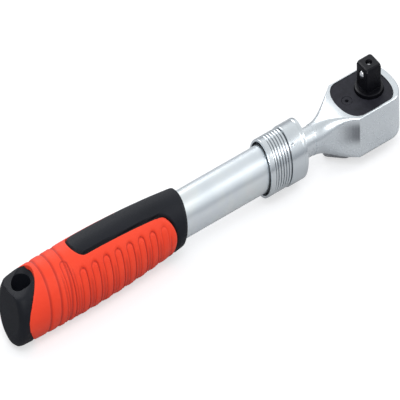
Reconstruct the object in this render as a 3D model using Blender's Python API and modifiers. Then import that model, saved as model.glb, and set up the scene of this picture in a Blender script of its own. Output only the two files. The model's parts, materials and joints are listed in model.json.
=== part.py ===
"""Extendable quick-release ratchet handle with a half-inch square drive.

The handle lies along X with its head at +X and its square drive pointing up (+Z). The origin is under
the middle of the collapsed handle, on the plane that the grip's belly and the reversing lever rest on.
Lengths named ..._FROM_DRIVE are measured along X from the drive's axis, heights from the handle's axis.
"""

import math

import bmesh
import bpy
from mathutils import Matrix, Vector

# ---------------------------------------------------------------- overall sizes
LENGTH = 0.3215                 # collapsed, butt to nose
GAP = 0.0003                    # between pieces that touch
RUN = 0.00025                   # running clearance of pieces that turn or slide

# ---------------------------------------------------------------- head and neck
NOSE_REACH = 0.0192             # drive axis to nose
HEAD_WIDTH = 0.0368
HEAD_TOP = 0.0094
HEAD_BOTTOM = 0.0109
RIDGE_FROM_DRIVE = -0.021       # where the concave flanks meet the flat sides
NOSE_START_FROM_DRIVE = 0.005   # where the flat sides turn into the nose
NECK_FROM_DRIVE = -0.050        # where the forged neck becomes the round bar
EDGE_TOP = 0.0009
EDGE_BOTTOM = 0.0026
BAR_RADIUS = 0.0068
BAR_FLAT_CUT = 0.0008           # depth of the flat on each side of the bar
BAR_FLAT = BAR_RADIUS - BAR_FLAT_CUT
NECK_OVER_BAR = 0.0003
NECK_RADIUS = BAR_RADIUS + NECK_OVER_BAR

# ---------------------------------------------------------------- drive
SQUARE = 0.0127
SQUARE_TIP = 0.0223
SQUARE_EDGE = 0.0013
SHOULDER_LEDGE = 0.00365        # round shoulder beyond the square's flats
SHOULDER_RADIUS = SQUARE / 2 + SHOULDER_LEDGE
SHOULDER_TOP = 0.0112
TEETH = 36
GEAR_LEDGE = 0.0020             # gear under the cover plate
GEAR_RADIUS = SHOULDER_RADIUS + GEAR_LEDGE
TOOTH_DEPTH = 0.0011
GEAR_BOTTOM = -0.0049
JOURNAL_RADIUS = 0.0080
WASHER_THICKNESS = 0.0007
SOCKET_BALL_RADIUS = 0.0024
SOCKET_BALL_BELOW_TIP = 0.0046
SOCKET_BALL_PROUD = 0.0009
PIN_TO_BALL = 0.00035           # between the release pin and the socket ball
PIN_RADIUS = SQUARE / 2 + SOCKET_BALL_PROUD - 2 * SOCKET_BALL_RADIUS - PIN_TO_BALL

# ---------------------------------------------------------------- quick release
BUTTON_RADIUS = 0.0052
BUTTON_STEM_RADIUS = 0.0040
BUTTON_PROUD = 0.0036
FLANGE_BOTTOM = -0.0092
FLANGE_TOP = -0.0073
SPRING_TOP = 0.0
SPRING_WIRE = 0.00035
CLIP_INSET = 0.0004
CLIP_THICKNESS = 0.0008
CLIP_RADIUS = 0.0060
BUTTON_RECESS = -0.0125         # bottom of the button's recess for the pin
PIN_BELOW_TIP = 0.0012
PIN_CONE_LENGTH = 0.0036        # cone that moves the ball

# ---------------------------------------------------------------- cover plate and its screw
PLATE_REAR_FROM_DRIVE = -0.0270
PLATE_FRONT_FROM_DRIVE = 0.0140
PLATE_FLAT_REAR = -0.0160
PLATE_FLAT_FRONT = 0.0047
PLATE_INSET = 0.0016            # plate inside the head's sides
PLATE_WIDTH = HEAD_WIDTH - 2 * PLATE_INSET
PLATE_THICKNESS = 0.0024
PLATE_BELOW_TOP = 0.0002
TONGUE_LENGTH = 0.0020
TONGUE_WIDTH = 0.0080
TONGUE_THICKNESS = 0.0009
SCREW_FROM_DRIVE = -0.0190
SCREW_HEAD_RADIUS = 0.0036
SCREW_RADIUS = 0.00165
SCREW_LENGTH = 0.0060

# ---------------------------------------------------------------- reversing gear
PAWL_BEHIND_GEAR = 0.0024
LEVER_BEHIND_PAWL = 0.0071
PAWL_PIVOT_FROM_DRIVE = -(GEAR_RADIUS + PAWL_BEHIND_GEAR)
LEVER_FROM_DRIVE = PAWL_PIVOT_FROM_DRIVE - LEVER_BEHIND_PAWL
LEVER_SHAFT_RADIUS = 0.0032
LEVER_SHAFT_TOP = 0.0004
LEVER_DISC_RADIUS = 0.0060
LEVER_TIP_RADIUS = 0.0034
LEVER_REACH = 0.0115
LEVER_THICKNESS = 0.0042
LEVER_REST = math.radians(-30)
PAWL_TOP = 0.0004
PAWL_PIN_RADIUS = 0.0009
PAWL_PIN_DEPTH = 0.0020
PIN_FIT = 0.0002                # round a pin or a screw in its hole
PAWL_HALF_LENGTH = 0.0085
PAWL_BACK = -0.0032             # pawl's outline, along X from its pivot
PAWL_SHOULDER = -0.0016
PAWL_FRONT = 0.0044
PAWL_BACK_HALF = 0.0042
PAWL_SPAN_HALF = 0.0057         # toothless middle of the pawl
PAWL_RELIEF = 0.0006
POCKET_ROOM = 0.0009
POCKET_INTO_GEAR = 0.004        # pocket reaches into the gear's space
PAWL_ROCK = math.radians(10)    # whole swing between the two engaged positions
PLUNGER_RADIUS = 0.0012
PLUNGER_REACH = 0.00475         # lever axis to the plunger's tip
PLUNGER_HEIGHT = -0.0027
PLUNGER_REAR = 0.0008
PLUNGER_HOLE_END = -0.0022
PLUNGER_WINDOW_HALF = 0.0044
PLUNGER_WINDOW_EDGE = 0.0012
DETENT_SPRING_RADIUS = 0.0009
DETENT_WIRE = 0.00018
SEAL_HEIGHT = 0.0021            # lever's seal over the head's underside
SEAL_WIRE_RADIUS = 0.0006
SEAL_GROOVE_HALF = 0.0008
SEAL_GROOVE_DEPTH = 0.00125
LEVER_EDGE = 0.0007

# ---------------------------------------------------------------- tube's section
BUSHING_WALL = 0.0022           # between the bar and the tube's bore
TUBE_WALL = 0.0019
TUBE_BORE = BAR_RADIUS + BUSHING_WALL
TUBE_RADIUS = TUBE_BORE + TUBE_WALL

# ---------------------------------------------------------------- locking collar
SLEEVE_FROM_DRIVE = -0.0618
SLEEVE_LENGTH = 0.0312
SLEEVE_OVER_TUBE = 0.0025
SLEEVE_STEP = 0.0004            # the front band stands over the ribs
SLEEVE_REAR_RADIUS = TUBE_RADIUS + SLEEVE_OVER_TUBE
SLEEVE_FRONT_RADIUS = SLEEVE_REAR_RADIUS + SLEEVE_STEP
SLEEVE_RIBS = 6
RIB_PITCH = 0.0022
RIB_DEPTH = 0.0005
RIB_HALF_WIDTH = 0.0006
RIBS_BEHIND = 0.0042            # plain band behind the ribs
SLEEVE_CHAMFER = 0.0006
BUSHING_BEHIND_FRONT = 0.0008
STOP_RING_BEHIND_FRONT = 0.0032
STOP_RING_SEAT = 0.0009         # depth of the stop ring's groove
CHAMBER_BEHIND_BALL = 0.0048    # sleeve's inner shoulder, which the spring pushes
LOCK_DEPTH = 0.00095            # how far a lock ball sits in the bar's groove
LOCK_BALL_ROOM = 0.00015        # between a lock ball and the collar's land
LOCK_BALL_RADIUS = (TUBE_RADIUS + GAP - LOCK_BALL_ROOM - BAR_RADIUS + LOCK_DEPTH) / 2
LOCK_BALL_BEHIND_FRONT = 0.0142
RAMP_SLOPE = 0.25
RAMP_LENGTH = 0.0048
STOP_RING_THICKNESS = 0.0010
SLEEVE_SPRING_WIRE = 0.0007

# ---------------------------------------------------------------- tube and telescopic bar
SPIGOT_LENGTH = 0.0117
SNAP_WIRE = 0.0010
SNAP_RING_SEAT = 0.0005
SNAP_RING_AHEAD = 0.0020        # snap ring ahead of the sleeve's rear face
SNAP_RING_ARC = 335             # degrees
TUBE_INSIDE_SLEEVE = 0.0047
GROOVE_PITCH = 0.022            # between two locking positions
GUIDE_LENGTH = 0.012
GUIDE_SEAT_STEP = 0.0018
GUIDE_SEAT_RADIUS = BAR_RADIUS - GUIDE_SEAT_STEP
TAIL_WASHER_THICKNESS = 0.0012
TAIL_SCREW_RADIUS = 0.0024
TAIL_SCREW_LENGTH = 0.014
TAIL_SCREW_HEAD = 0.0030
TAIL_ROOM = 0.001
PLUG_LENGTH = 0.014
PLUG_FLANGE = 0.0015
PLUG_FLANGE_ROOM = 0.0023

# ---------------------------------------------------------------- grip
GRIP_LENGTH = 0.1397
GRIP_OVER_TUBE = 0.0060         # where the grip is thickest
GRIP_RADIUS = TUBE_RADIUS + GRIP_OVER_TUBE
BELLY_FLAT = 0.0006             # how much the grip's belly is flattened
GRIP_THICKEST_FROM_BUTT = 0.055
GRIP_FRONT_TAPER = 0.0038
GRIP_REAR_TAPER = 0.0012
GRIP_END_ROUND = 0.0050
GRIP_FRONT_ROUND = 0.0022
COVER_THICKNESS = 0.0020
BORE_DEPTH_FROM_BUTT = 0.0240
HOLE_RADIUS = 0.0066
HOLE_RIM = 0.0006               # width of the flare round the hole
HOLE_FROM_BUTT = 0.0093
SLOPE_DEPTH = 0.0028            # butt's sloping top under the full radius, at the hole
SLOPE_ANGLE = math.radians(22)
SLOPE_HOLLOW_RADIUS = 0.060
PAD_HALF_WIDTH = 0.0091
PAD_REAR_FROM_BUTT = 0.0480
PAD_ROUND = 0.0091
PAD_FRONT_HALF_WIDTH = 0.0091
BUTT_SIDE = 0.0040              # black butt at the sides
BUTT_TOP = 0.0174               # black butt round the hole
BUTT_BULGE_HALF_WIDTH = 0.0162
PANEL_FRONT_BEHIND_RING = 0.0098
PANEL_ROUND = 0.0152
PANEL_CENTRE_Z = -0.0035         # panels' front ends under the handle's axis

# ---------------------------------------------------------------- places worked out from the sizes
AXIS_Z = GRIP_RADIUS - BELLY_FLAT
BUTT_X = -LENGTH / 2
DRIVE_X = LENGTH / 2 - NOSE_REACH
GRIP_FRONT_X = BUTT_X + GRIP_LENGTH
SLEEVE_FRONT_X = DRIVE_X + SLEEVE_FROM_DRIVE
SLEEVE_REAR_X = SLEEVE_FRONT_X - SLEEVE_LENGTH
BALL_X = SLEEVE_FRONT_X - LOCK_BALL_BEHIND_FRONT
BOLD_GROOVE_X = SLEEVE_REAR_X + RIBS_BEHIND + RIB_PITCH * SLEEVE_RIBS
LEVER_X = DRIVE_X + LEVER_FROM_DRIVE
PAWL_X = DRIVE_X + PAWL_PIVOT_FROM_DRIVE
SCREW_X = DRIVE_X + SCREW_FROM_DRIVE
HOLE_X = BUTT_X + HOLE_FROM_BUTT
SLOPE_Z = GRIP_RADIUS - GRIP_REAR_TAPER - SLOPE_DEPTH

SOCKET_BALL_Z = AXIS_Z + SQUARE_TIP - SOCKET_BALL_BELOW_TIP

PLATE_TOP = HEAD_TOP - PLATE_BELOW_TOP
PLATE_SEAT = PLATE_TOP - PLATE_THICKNESS - GAP
GEAR_TOP = PLATE_SEAT - GAP
FLOOR_Z = GEAR_BOTTOM - WASHER_THICKNESS - 2 * GAP
CAVITY_RADIUS = GEAR_RADIUS + 2 * GAP
POCKET_TOP = PAWL_TOP + GAP
BALL_CENTRE_RADIUS = BAR_RADIUS - LOCK_DEPTH + LOCK_BALL_RADIUS
GROOVE_RADIUS = BAR_RADIUS - LOCK_DEPTH - GAP
LAND_RADIUS = TUBE_RADIUS + GAP
RELIEF_RADIUS = LAND_RADIUS + RAMP_SLOPE * RAMP_LENGTH
STOP_RADIUS = SLEEVE_FRONT_RADIUS - 0.0010
STOP_RING_FRONT_X = SLEEVE_FRONT_X - STOP_RING_BEHIND_FRONT
SLEEVE_SHOULDER_X = BALL_X - CHAMBER_BEHIND_BALL
BUSHING_BORE = BAR_RADIUS + RUN
TUBE_FRONT_X = SLEEVE_REAR_X + TUBE_INSIDE_SLEEVE
SNAP_RING_X = SLEEVE_REAR_X + SNAP_RING_AHEAD
SPIGOT_REAR_X = TUBE_FRONT_X - SPIGOT_LENGTH
TUBE_REAR_X = BUTT_X + BORE_DEPTH_FROM_BUTT + PLUG_FLANGE_ROOM
PLUG_FRONT_X = TUBE_REAR_X + PLUG_LENGTH
TAIL_STACK = GUIDE_LENGTH + TAIL_WASHER_THICKNESS + TAIL_SCREW_HEAD + 5 * GAP + TAIL_ROOM
STOPS = int((SPIGOT_REAR_X - PLUG_FRONT_X - TAIL_STACK) / GROOVE_PITCH)
TRAVEL = STOPS * GROOVE_PITCH
BAR_STEP_X = SPIGOT_REAR_X - TRAVEL - GAP
BAR_END_X = BAR_STEP_X - GUIDE_LENGTH

PARTS = "extendable_ratchet"
CUTTERS = "cutters"
FAR = 0.05                      # reach of a cutter past what it cuts


# ================================================================ small tools
def collection(name):
    """The collection of that name, made on first use."""
    found = bpy.data.collections.get(name)
    if found is None:
        found = bpy.data.collections.new(name)
        bpy.context.scene.collection.children.link(found)
    return found


def place(obj, group):
    """Puts an object into one collection, out of any other, and hides it from renders if it is a cutter."""
    for old in list(obj.users_collection):
        old.objects.unlink(obj)
    collection(group).objects.link(obj)
    if group == CUTTERS:
        obj.hide_render = True
        obj.display_type = "WIRE"
    return obj


def mesh_object(name, mesh, group=CUTTERS):
    """An object for a mesh."""
    return place(bpy.data.objects.new(name, mesh), group)


def turned(name, profile, axis="X", at=(0, 0, 0), steps=32, group=CUTTERS, ring=False):
    """A turned piece. The profile's (along, radius) points run down the outer side from its far end;
    a ring's profile then returns up the bore and closes."""
    mesh = bpy.data.meshes.new(name)
    points = [(radius, 0, along) for along, radius in profile]
    edges = [(index, index + 1) for index in range(len(points) - 1)]
    if ring:
        edges.append((len(points) - 1, 0))
    mesh.from_pydata(points, edges, [])
    obj = mesh_object(name, mesh, group)
    obj.location = at
    if axis == "X":
        obj.rotation_euler = (0, math.pi / 2, 0)
    screw = obj.modifiers.new("turn", "SCREW")
    screw.steps = steps
    screw.render_steps = steps
    screw.use_merge_vertices = True
    screw.merge_threshold = 0.00001
    return obj


def on_axis(name, profile, **options):
    """A piece turned round the handle's axis."""
    return turned(name, profile, "X", (0, 0, AXIS_Z), **options)


def upright(name, profile, x=DRIVE_X, y=0.0, **options):
    """A piece turned round a vertical axis; its heights are taken from the handle's axis."""
    return turned(name, profile, "Z", (x, y, AXIS_Z), **options)


def cylinder(name, radius, low, high, x=DRIVE_X, segments=32, group=CUTTERS):
    """An upright cylinder between two heights over the handle's axis."""
    middle = AXIS_Z + (low + high) / 2
    bpy.ops.mesh.primitive_cylinder_add(
        vertices=segments, radius=radius, depth=high - low, location=(x, 0, middle))
    obj = bpy.context.object
    obj.name = name
    return place(obj, group)


def box(name, low, high, group=CUTTERS):
    """A box between two corners."""
    bpy.ops.mesh.primitive_cube_add(size=1, location=(Vector(low) + Vector(high)) / 2)
    obj = bpy.context.object
    obj.name = name
    size = Vector(high) - Vector(low)
    obj.data.transform(Matrix.Diagonal((*size, 1)))
    return place(obj, group)


def ball(name, radius, at, rings, group=PARTS):
    """A steel ball."""
    bpy.ops.mesh.primitive_uv_sphere_add(segments=2 * rings, ring_count=rings, radius=radius, location=at)
    obj = bpy.context.object
    obj.name = name
    return place(obj, group)


def as_mesh(curve, group):
    """A curve object made into a mesh object with welded caps."""
    graph = bpy.context.evaluated_depsgraph_get()
    mesh = bpy.data.meshes.new_from_object(curve.evaluated_get(graph))
    work = bmesh.new()
    work.from_mesh(mesh)
    bmesh.ops.remove_doubles(work, verts=work.verts, dist=0.000001)
    bmesh.ops.recalc_face_normals(work, faces=work.faces)
    work.to_mesh(mesh)
    work.free()
    name = curve.name
    matrix = curve.matrix_world.copy()
    bpy.data.objects.remove(curve)
    obj = mesh_object(name, mesh, group)
    obj.name = name
    obj.matrix_world = matrix
    return obj


def prism(name, outline, low, high, facing="Z", group=CUTTERS):
    """A flat outline extruded between two places, along Z or, for an (x, z) outline, along Y."""
    curve = bpy.data.curves.new(name, "CURVE")
    curve.dimensions = "2D"
    curve.fill_mode = "BOTH"
    curve.extrude = (high - low) / 2
    spline = curve.splines.new("POLY")
    spline.points.add(len(outline) - 1)
    spline.use_cyclic_u = True
    for point, (across, up) in zip(spline.points, outline):
        point.co = (across, up, 0, 1)
    obj = place(bpy.data.objects.new(name, curve), group)
    if facing == "Z":
        obj.location = (0, 0, (low + high) / 2)
    else:
        obj.rotation_euler = (math.pi / 2, 0, 0)
        obj.location = (0, (low + high) / 2, 0)
    bpy.context.view_layer.update()
    return as_mesh(obj, group)


def wire(name, points, radius, resolution=2, group=PARTS):
    """A wire through the points, as a curve with filled caps."""
    curve = bpy.data.curves.new(name, "CURVE")
    curve.dimensions = "3D"
    curve.bevel_depth = radius
    curve.bevel_resolution = resolution
    curve.use_fill_caps = True
    spline = curve.splines.new("POLY")
    spline.points.add(len(points) - 1)
    for point, place_at in zip(spline.points, points):
        point.co = (*place_at, 1)
    return place(bpy.data.objects.new(name, curve), group)


def coil(name, radius, wire_radius, low, high, turns, to_world, per_turn=12):
    """A coil spring round its own axis; to_world puts (along, across, across) into the frame."""
    count = int(turns * per_turn)
    start = low + wire_radius
    rise = (high - low - 2 * wire_radius) / count
    points = []
    for index in range(count + 1):
        angle = math.tau * index / per_turn
        points.append(to_world(start + rise * index, radius * math.cos(angle), radius * math.sin(angle)))
    return wire(name, points, wire_radius, 1)


def combine(body, tool, operation="DIFFERENCE"):
    """Cuts, joins or intersects a body with a tool."""
    modifier = body.modifiers.new(operation.lower() + " " + tool.name, "BOOLEAN")
    modifier.operation = operation
    modifier.solver = "EXACT"
    modifier.object = tool
    return body


def bevel(body, width, segments=2, angle=40):
    """Rounds the edges that are sharper than the angle."""
    modifier = body.modifiers.new("edges", "BEVEL")
    modifier.width = width
    modifier.segments = segments
    modifier.limit_method = "ANGLE"
    modifier.angle_limit = math.radians(angle)
    return body


def finish(obj, color, metallic=0.0, roughness=0.5):
    """Gives a piece its own material."""
    material = bpy.data.materials.new(obj.name)
    material.use_nodes = True
    shader = material.node_tree.nodes["Principled BSDF"]
    shader.inputs["Base Color"].default_value = (*color, 1)
    shader.inputs["Metallic"].default_value = metallic
    shader.inputs["Roughness"].default_value = roughness
    obj.data.materials.clear()
    obj.data.materials.append(material)
    if obj.type == "MESH" and obj.data.polygons:
        obj.data.shade_smooth()
        obj.data.set_sharp_from_angle(angle=math.radians(35))
    return obj


CHROME = (0.62, 0.65, 0.68)
STEEL = (0.42, 0.43, 0.45)
BLACK_OXIDE = (0.012, 0.012, 0.015)
PLATE_GREY = (0.06, 0.06, 0.07)
GRIP_BLACK = (0.014, 0.016, 0.021)
GRIP_ORANGE = (0.92, 0.075, 0.022)
RUBBER = (0.02, 0.02, 0.02)
NYLON = (0.75, 0.73, 0.66)


# ================================================================ outlines
def rounded_end(centre, reach, half_width, toward, count=12, exponent=2.2):
    """One rounded end of a flat outline, from its +Y side to its -Y side when it points to +X."""
    points = []
    for index in range(count + 1):
        angle = math.pi / 2 - math.pi * index / count
        along = abs(math.cos(angle)) ** (2 / exponent)
        across = math.copysign(abs(math.sin(angle)) ** (2 / exponent), math.sin(angle))
        points.append((centre + toward * reach * along, toward * half_width * across))
    return points


def plate_outline(grow):
    """The cover plate's outline: straight sides between two rounded ends."""
    half = PLATE_WIDTH / 2 + grow
    front = DRIVE_X + PLATE_FLAT_FRONT
    rear = DRIVE_X + PLATE_FLAT_REAR
    front_reach = PLATE_FRONT_FROM_DRIVE - PLATE_FLAT_FRONT + grow
    rear_reach = PLATE_FLAT_REAR - PLATE_REAR_FROM_DRIVE + grow
    return rounded_end(front, front_reach, half, 1) + rounded_end(rear, rear_reach, half, -1)


def head_outline():
    """The head's outline from the ridge forward."""
    start = DRIVE_X + NOSE_START_FROM_DRIVE
    ridge = DRIVE_X + RIDGE_FROM_DRIVE
    half = HEAD_WIDTH / 2
    nose = rounded_end(start, NOSE_REACH - NOSE_START_FROM_DRIVE, half, 1, count=14, exponent=2.4)
    return nose + [(ridge, -half), (ridge, half)]


def gear_outline(grow):
    """The gear's teeth, each a trapezoid on the root circle, about the drive's axis."""
    tip = GEAR_RADIUS + grow
    root = GEAR_RADIUS - TOOTH_DEPTH + grow
    pitch = math.tau / TEETH
    tip_half = 0.15 * pitch + grow / tip
    root_half = 0.32 * pitch + grow / root
    points = []
    for tooth in range(TEETH):
        middle = tooth * pitch
        for offset, radius in ((-root_half, root), (-tip_half, tip), (tip_half, tip), (root_half, root)):
            points.append((radius * math.cos(middle + offset), radius * math.sin(middle + offset)))
    return points


def moved(points, x, y=0.0):
    """Points shifted in their plane."""
    return [(across + x, up + y) for across, up in points]


def turned_about(points, angle, x, y=0.0):
    """Points turned in their plane round one of its points."""
    cosine = math.cos(angle)
    sine = math.sin(angle)
    return [(x + (px - x) * cosine - (py - y) * sine, y + (px - x) * sine + (py - y) * cosine)
            for px, py in points]


def smooth_step(value):
    """Eases from 0 to 1."""
    value = min(max(value, 0.0), 1.0)
    return value * value * (3 - 2 * value)


# ================================================================ head
def neck_section(x, half, top, bottom, round_top, round_bottom, per_corner=7):
    """A rounded rectangle across the handle, as points from +Y over the top."""
    points = []
    corners = ((1, 1), (-1, 1), (-1, -1), (1, -1))
    for quarter, (side, up) in enumerate(corners):
        radius = min(round_top if up > 0 else round_bottom, half)
        height = top if up > 0 else bottom
        for index in range(per_corner):
            angle = math.pi / 2 * (quarter + (index + 0.5) / per_corner)
            y = side * (half - radius) + radius * math.cos(angle)
            z = up * (height - radius) + radius * math.sin(angle)
            points.append((x, y, AXIS_Z + z))
    return points


def neck(name, count=11):
    """The neck between the round bar and the head, lofted through rounded sections."""
    start = DRIVE_X + NECK_FROM_DRIVE
    ridge = DRIVE_X + RIDGE_FROM_DRIVE
    inset = 0.00005
    sections = []
    for index in range(count + 1):
        way = index / count
        x = start + (ridge - start) * way
        half = NECK_RADIUS + (HEAD_WIDTH / 2 - inset - NECK_RADIUS) * way ** 1.9
        rise = smooth_step(way / 0.8)
        top = NECK_RADIUS + (HEAD_TOP - inset - NECK_RADIUS) * rise
        bottom = NECK_RADIUS + (HEAD_BOTTOM - inset - NECK_RADIUS) * rise
        soft = smooth_step(1.15 - 1.15 * way)
        round_top = EDGE_TOP + (NECK_RADIUS - EDGE_TOP) * soft
        round_bottom = EDGE_BOTTOM + (NECK_RADIUS - EDGE_BOTTOM) * soft
        sections.append(neck_section(x, half, top, bottom, round_top, round_bottom))
    embedded = neck_section(ridge + 0.004, HEAD_WIDTH / 2 - 0.004, HEAD_TOP - 0.002,
                            HEAD_BOTTOM - 0.002, EDGE_TOP, EDGE_BOTTOM)
    sections.append(embedded)
    work = bmesh.new()
    loops = [[work.verts.new(point) for point in section] for section in sections]
    for first, second in zip(loops, loops[1:]):
        for index in range(len(first)):
            after = (index + 1) % len(first)
            work.faces.new((first[index], first[after], second[after], second[index]))
    work.faces.new(loops[0][::-1])
    work.faces.new(loops[-1])
    bmesh.ops.recalc_face_normals(work, faces=work.faces)
    mesh = bpy.data.meshes.new(name)
    work.to_mesh(mesh)
    work.free()
    return mesh_object(name, mesh)


def head_block(name):
    """The head from the ridge forward, with a soft lower edge and a crisp upper one."""
    block = prism(name, head_outline(), AXIS_Z - HEAD_BOTTOM, AXIS_Z + HEAD_TOP, group=PARTS)
    ridge = DRIVE_X + RIDGE_FROM_DRIVE
    work = bmesh.new()
    work.from_mesh(block.data)
    matrix = block.matrix_world
    for low, width, segments in ((True, EDGE_BOTTOM, 3), (False, EDGE_TOP, 1)):
        rim = []
        for edge in work.edges:
            ends = [matrix @ vertex.co for vertex in edge.verts]
            level = AXIS_Z - HEAD_BOTTOM if low else AXIS_Z + HEAD_TOP
            on_level = all(abs(end.z - level) < 1e-6 for end in ends)
            on_ridge = all(abs(end.x - ridge) < 1e-6 for end in ends)
            outside = len({round(face.normal.z, 3) for face in edge.link_faces}) > 1
            if on_level and outside and not on_ridge:
                rim.append(edge)
        bmesh.ops.bevel(work, geom=rim, offset=width, segments=segments, profile=0.5, affect="EDGES")
    work.to_mesh(block.data)
    work.free()
    return block


def bar_profile():
    """The telescopic bar with its locking grooves, from the neck to its stepped rear end."""
    reach = LOCK_BALL_RADIUS
    profile = [(DRIVE_X + NECK_FROM_DRIVE + 0.006, 0), (DRIVE_X + NECK_FROM_DRIVE + 0.006, BAR_RADIUS)]
    for stop in range(STOPS + 1):
        x = BALL_X - stop * GROOVE_PITCH
        profile += [(x + reach, BAR_RADIUS), (x + 0.0010, GROOVE_RADIUS)]
        profile += [(x - 0.0010, GROOVE_RADIUS), (x - reach, BAR_RADIUS)]
    profile += [(BAR_STEP_X, BAR_RADIUS), (BAR_STEP_X, GUIDE_SEAT_RADIUS)]
    profile += [(BAR_END_X, GUIDE_SEAT_RADIUS), (BAR_END_X, 0)]
    return profile


def side_flats(name, half, rear, front):
    """Two slabs that take the sides off a round bar."""
    slabs = []
    for side, label in ((1, "left"), (-1, "right")):
        near, far = sorted((side * half, side * FAR))
        slabs.append(box(name + "_" + label, (rear, near, 0), (front, far, 2 * AXIS_Z)))
    return slabs


def make_head():
    """Head, neck and telescopic bar: one forging, cut for the gear, the pawl and the lever."""
    head = head_block("ratchet_head")
    combine(head, neck("neck_forging"), "UNION")
    bar = on_axis("bar_shaft", bar_profile(), steps=24)
    for slab in side_flats("bar_flat", BAR_FLAT, BAR_STEP_X, SLEEVE_FRONT_X + 0.0006):
        combine(bar, slab)
    combine(head, bar, "UNION")
    top = AXIS_Z + HEAD_TOP
    seat = prism("plate_seat", plate_outline(GAP), AXIS_Z + PLATE_SEAT, top + 0.005)
    combine(head, seat)
    combine(head, tongue_box("tongue_slot", GAP))
    combine(head, cylinder("gear_cavity", CAVITY_RADIUS, FLOOR_Z, HEAD_TOP, segments=40))
    combine(head, cylinder("journal_hole", JOURNAL_RADIUS + RUN, -FAR, 0))
    pocket_rear = LEVER_X + LEVER_SHAFT_RADIUS - 0.0002
    pocket_half = PAWL_HALF_LENGTH + POCKET_ROOM
    combine(head, box("pawl_pocket", (pocket_rear, -pocket_half, AXIS_Z + FLOOR_Z),
                      (DRIVE_X - GEAR_RADIUS + POCKET_INTO_GEAR, pocket_half, AXIS_Z + POCKET_TOP)))
    window_low = AXIS_Z + FLOOR_Z + PLUNGER_WINDOW_EDGE
    window_top = AXIS_Z + LEVER_SHAFT_TOP - PLUNGER_WINDOW_EDGE
    combine(head, box("plunger_window", (LEVER_X, -PLUNGER_WINDOW_HALF, window_low),
                      (pocket_rear + 0.001, PLUNGER_WINDOW_HALF, window_top)))
    lever_end = LEVER_SHAFT_TOP + GAP
    combine(head, cylinder("lever_bore", LEVER_SHAFT_RADIUS + GAP, -FAR, lever_end, LEVER_X, 24))
    pin_end = POCKET_TOP + PAWL_PIN_DEPTH + PIN_FIT
    combine(head, cylinder("pawl_pin_bore", PAWL_PIN_RADIUS + PIN_FIT, -FAR, pin_end, PAWL_X, 12))
    screw_depth = PLATE_TOP - SCREW_LENGTH - GAP
    combine(head, cylinder("screw_bore", SCREW_RADIUS + PIN_FIT, screw_depth, HEAD_TOP, SCREW_X, 16))
    tail_depth = BAR_END_X + TAIL_SCREW_LENGTH - 0.001
    tail = on_axis("tail_bore", [(tail_depth, 0), (tail_depth, TAIL_SCREW_RADIUS + PIN_FIT),
                                 (BAR_END_X - 0.01, TAIL_SCREW_RADIUS + PIN_FIT), (BAR_END_X - 0.01, 0)],
                   steps=14)
    combine(head, tail)
    return finish(head, CHROME, 1.0, 0.28)


# ================================================================ cover plate
def tongue_box(name, grow):
    """The plate's front tongue, which hooks under the head's lip."""
    front = DRIVE_X + PLATE_FRONT_FROM_DRIVE
    half = TONGUE_WIDTH / 2 + grow
    low = AXIS_Z + PLATE_SEAT + GAP - grow
    high = AXIS_Z + PLATE_SEAT + GAP + TONGUE_THICKNESS + grow
    return box(name, (front - 0.004, -half, low), (front + TONGUE_LENGTH + grow, half, high))


def make_plate():
    """The dark cover plate with the drive's opening and a countersink."""
    bottom = PLATE_SEAT + GAP
    plate = prism("cover_plate", plate_outline(0), AXIS_Z + bottom, AXIS_Z + PLATE_TOP, group=PARTS)
    combine(plate, tongue_box("plate_tongue", 0), "UNION")
    combine(plate, cylinder("drive_opening", SHOULDER_RADIUS + GAP, -FAR, FAR, segments=40))
    clear = SCREW_RADIUS + GAP
    sink = SCREW_HEAD_RADIUS + GAP
    countersink = upright("countersink", [(FAR, 0), (FAR, sink), (PLATE_TOP - 0.0003, sink),
                                          (PLATE_TOP - 0.0003 - sink + clear, clear), (-FAR, clear),
                                          (-FAR, 0)], x=SCREW_X, steps=20)
    combine(plate, countersink)
    return finish(plate, PLATE_GREY, 0.6, 0.42)


def make_screw():
    """The countersunk socket screw of the cover plate."""
    top = PLATE_TOP - 0.0001
    taper = top - 0.0002 - SCREW_HEAD_RADIUS + SCREW_RADIUS
    end = PLATE_TOP - SCREW_LENGTH
    screw = upright("cover_screw", [(top, 0), (top, SCREW_HEAD_RADIUS), (top - 0.0002, SCREW_HEAD_RADIUS),
                                    (taper, SCREW_RADIUS), (end + 0.0004, SCREW_RADIUS),
                                    (end, SCREW_RADIUS - 0.0004), (end, 0)],
                    x=SCREW_X, steps=20, group=PARTS)
    combine(screw, cylinder("screw_socket", 0.00145, top - 0.0016, top + 0.001, SCREW_X, 6))
    return finish(screw, PLATE_GREY, 0.8, 0.35)


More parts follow.
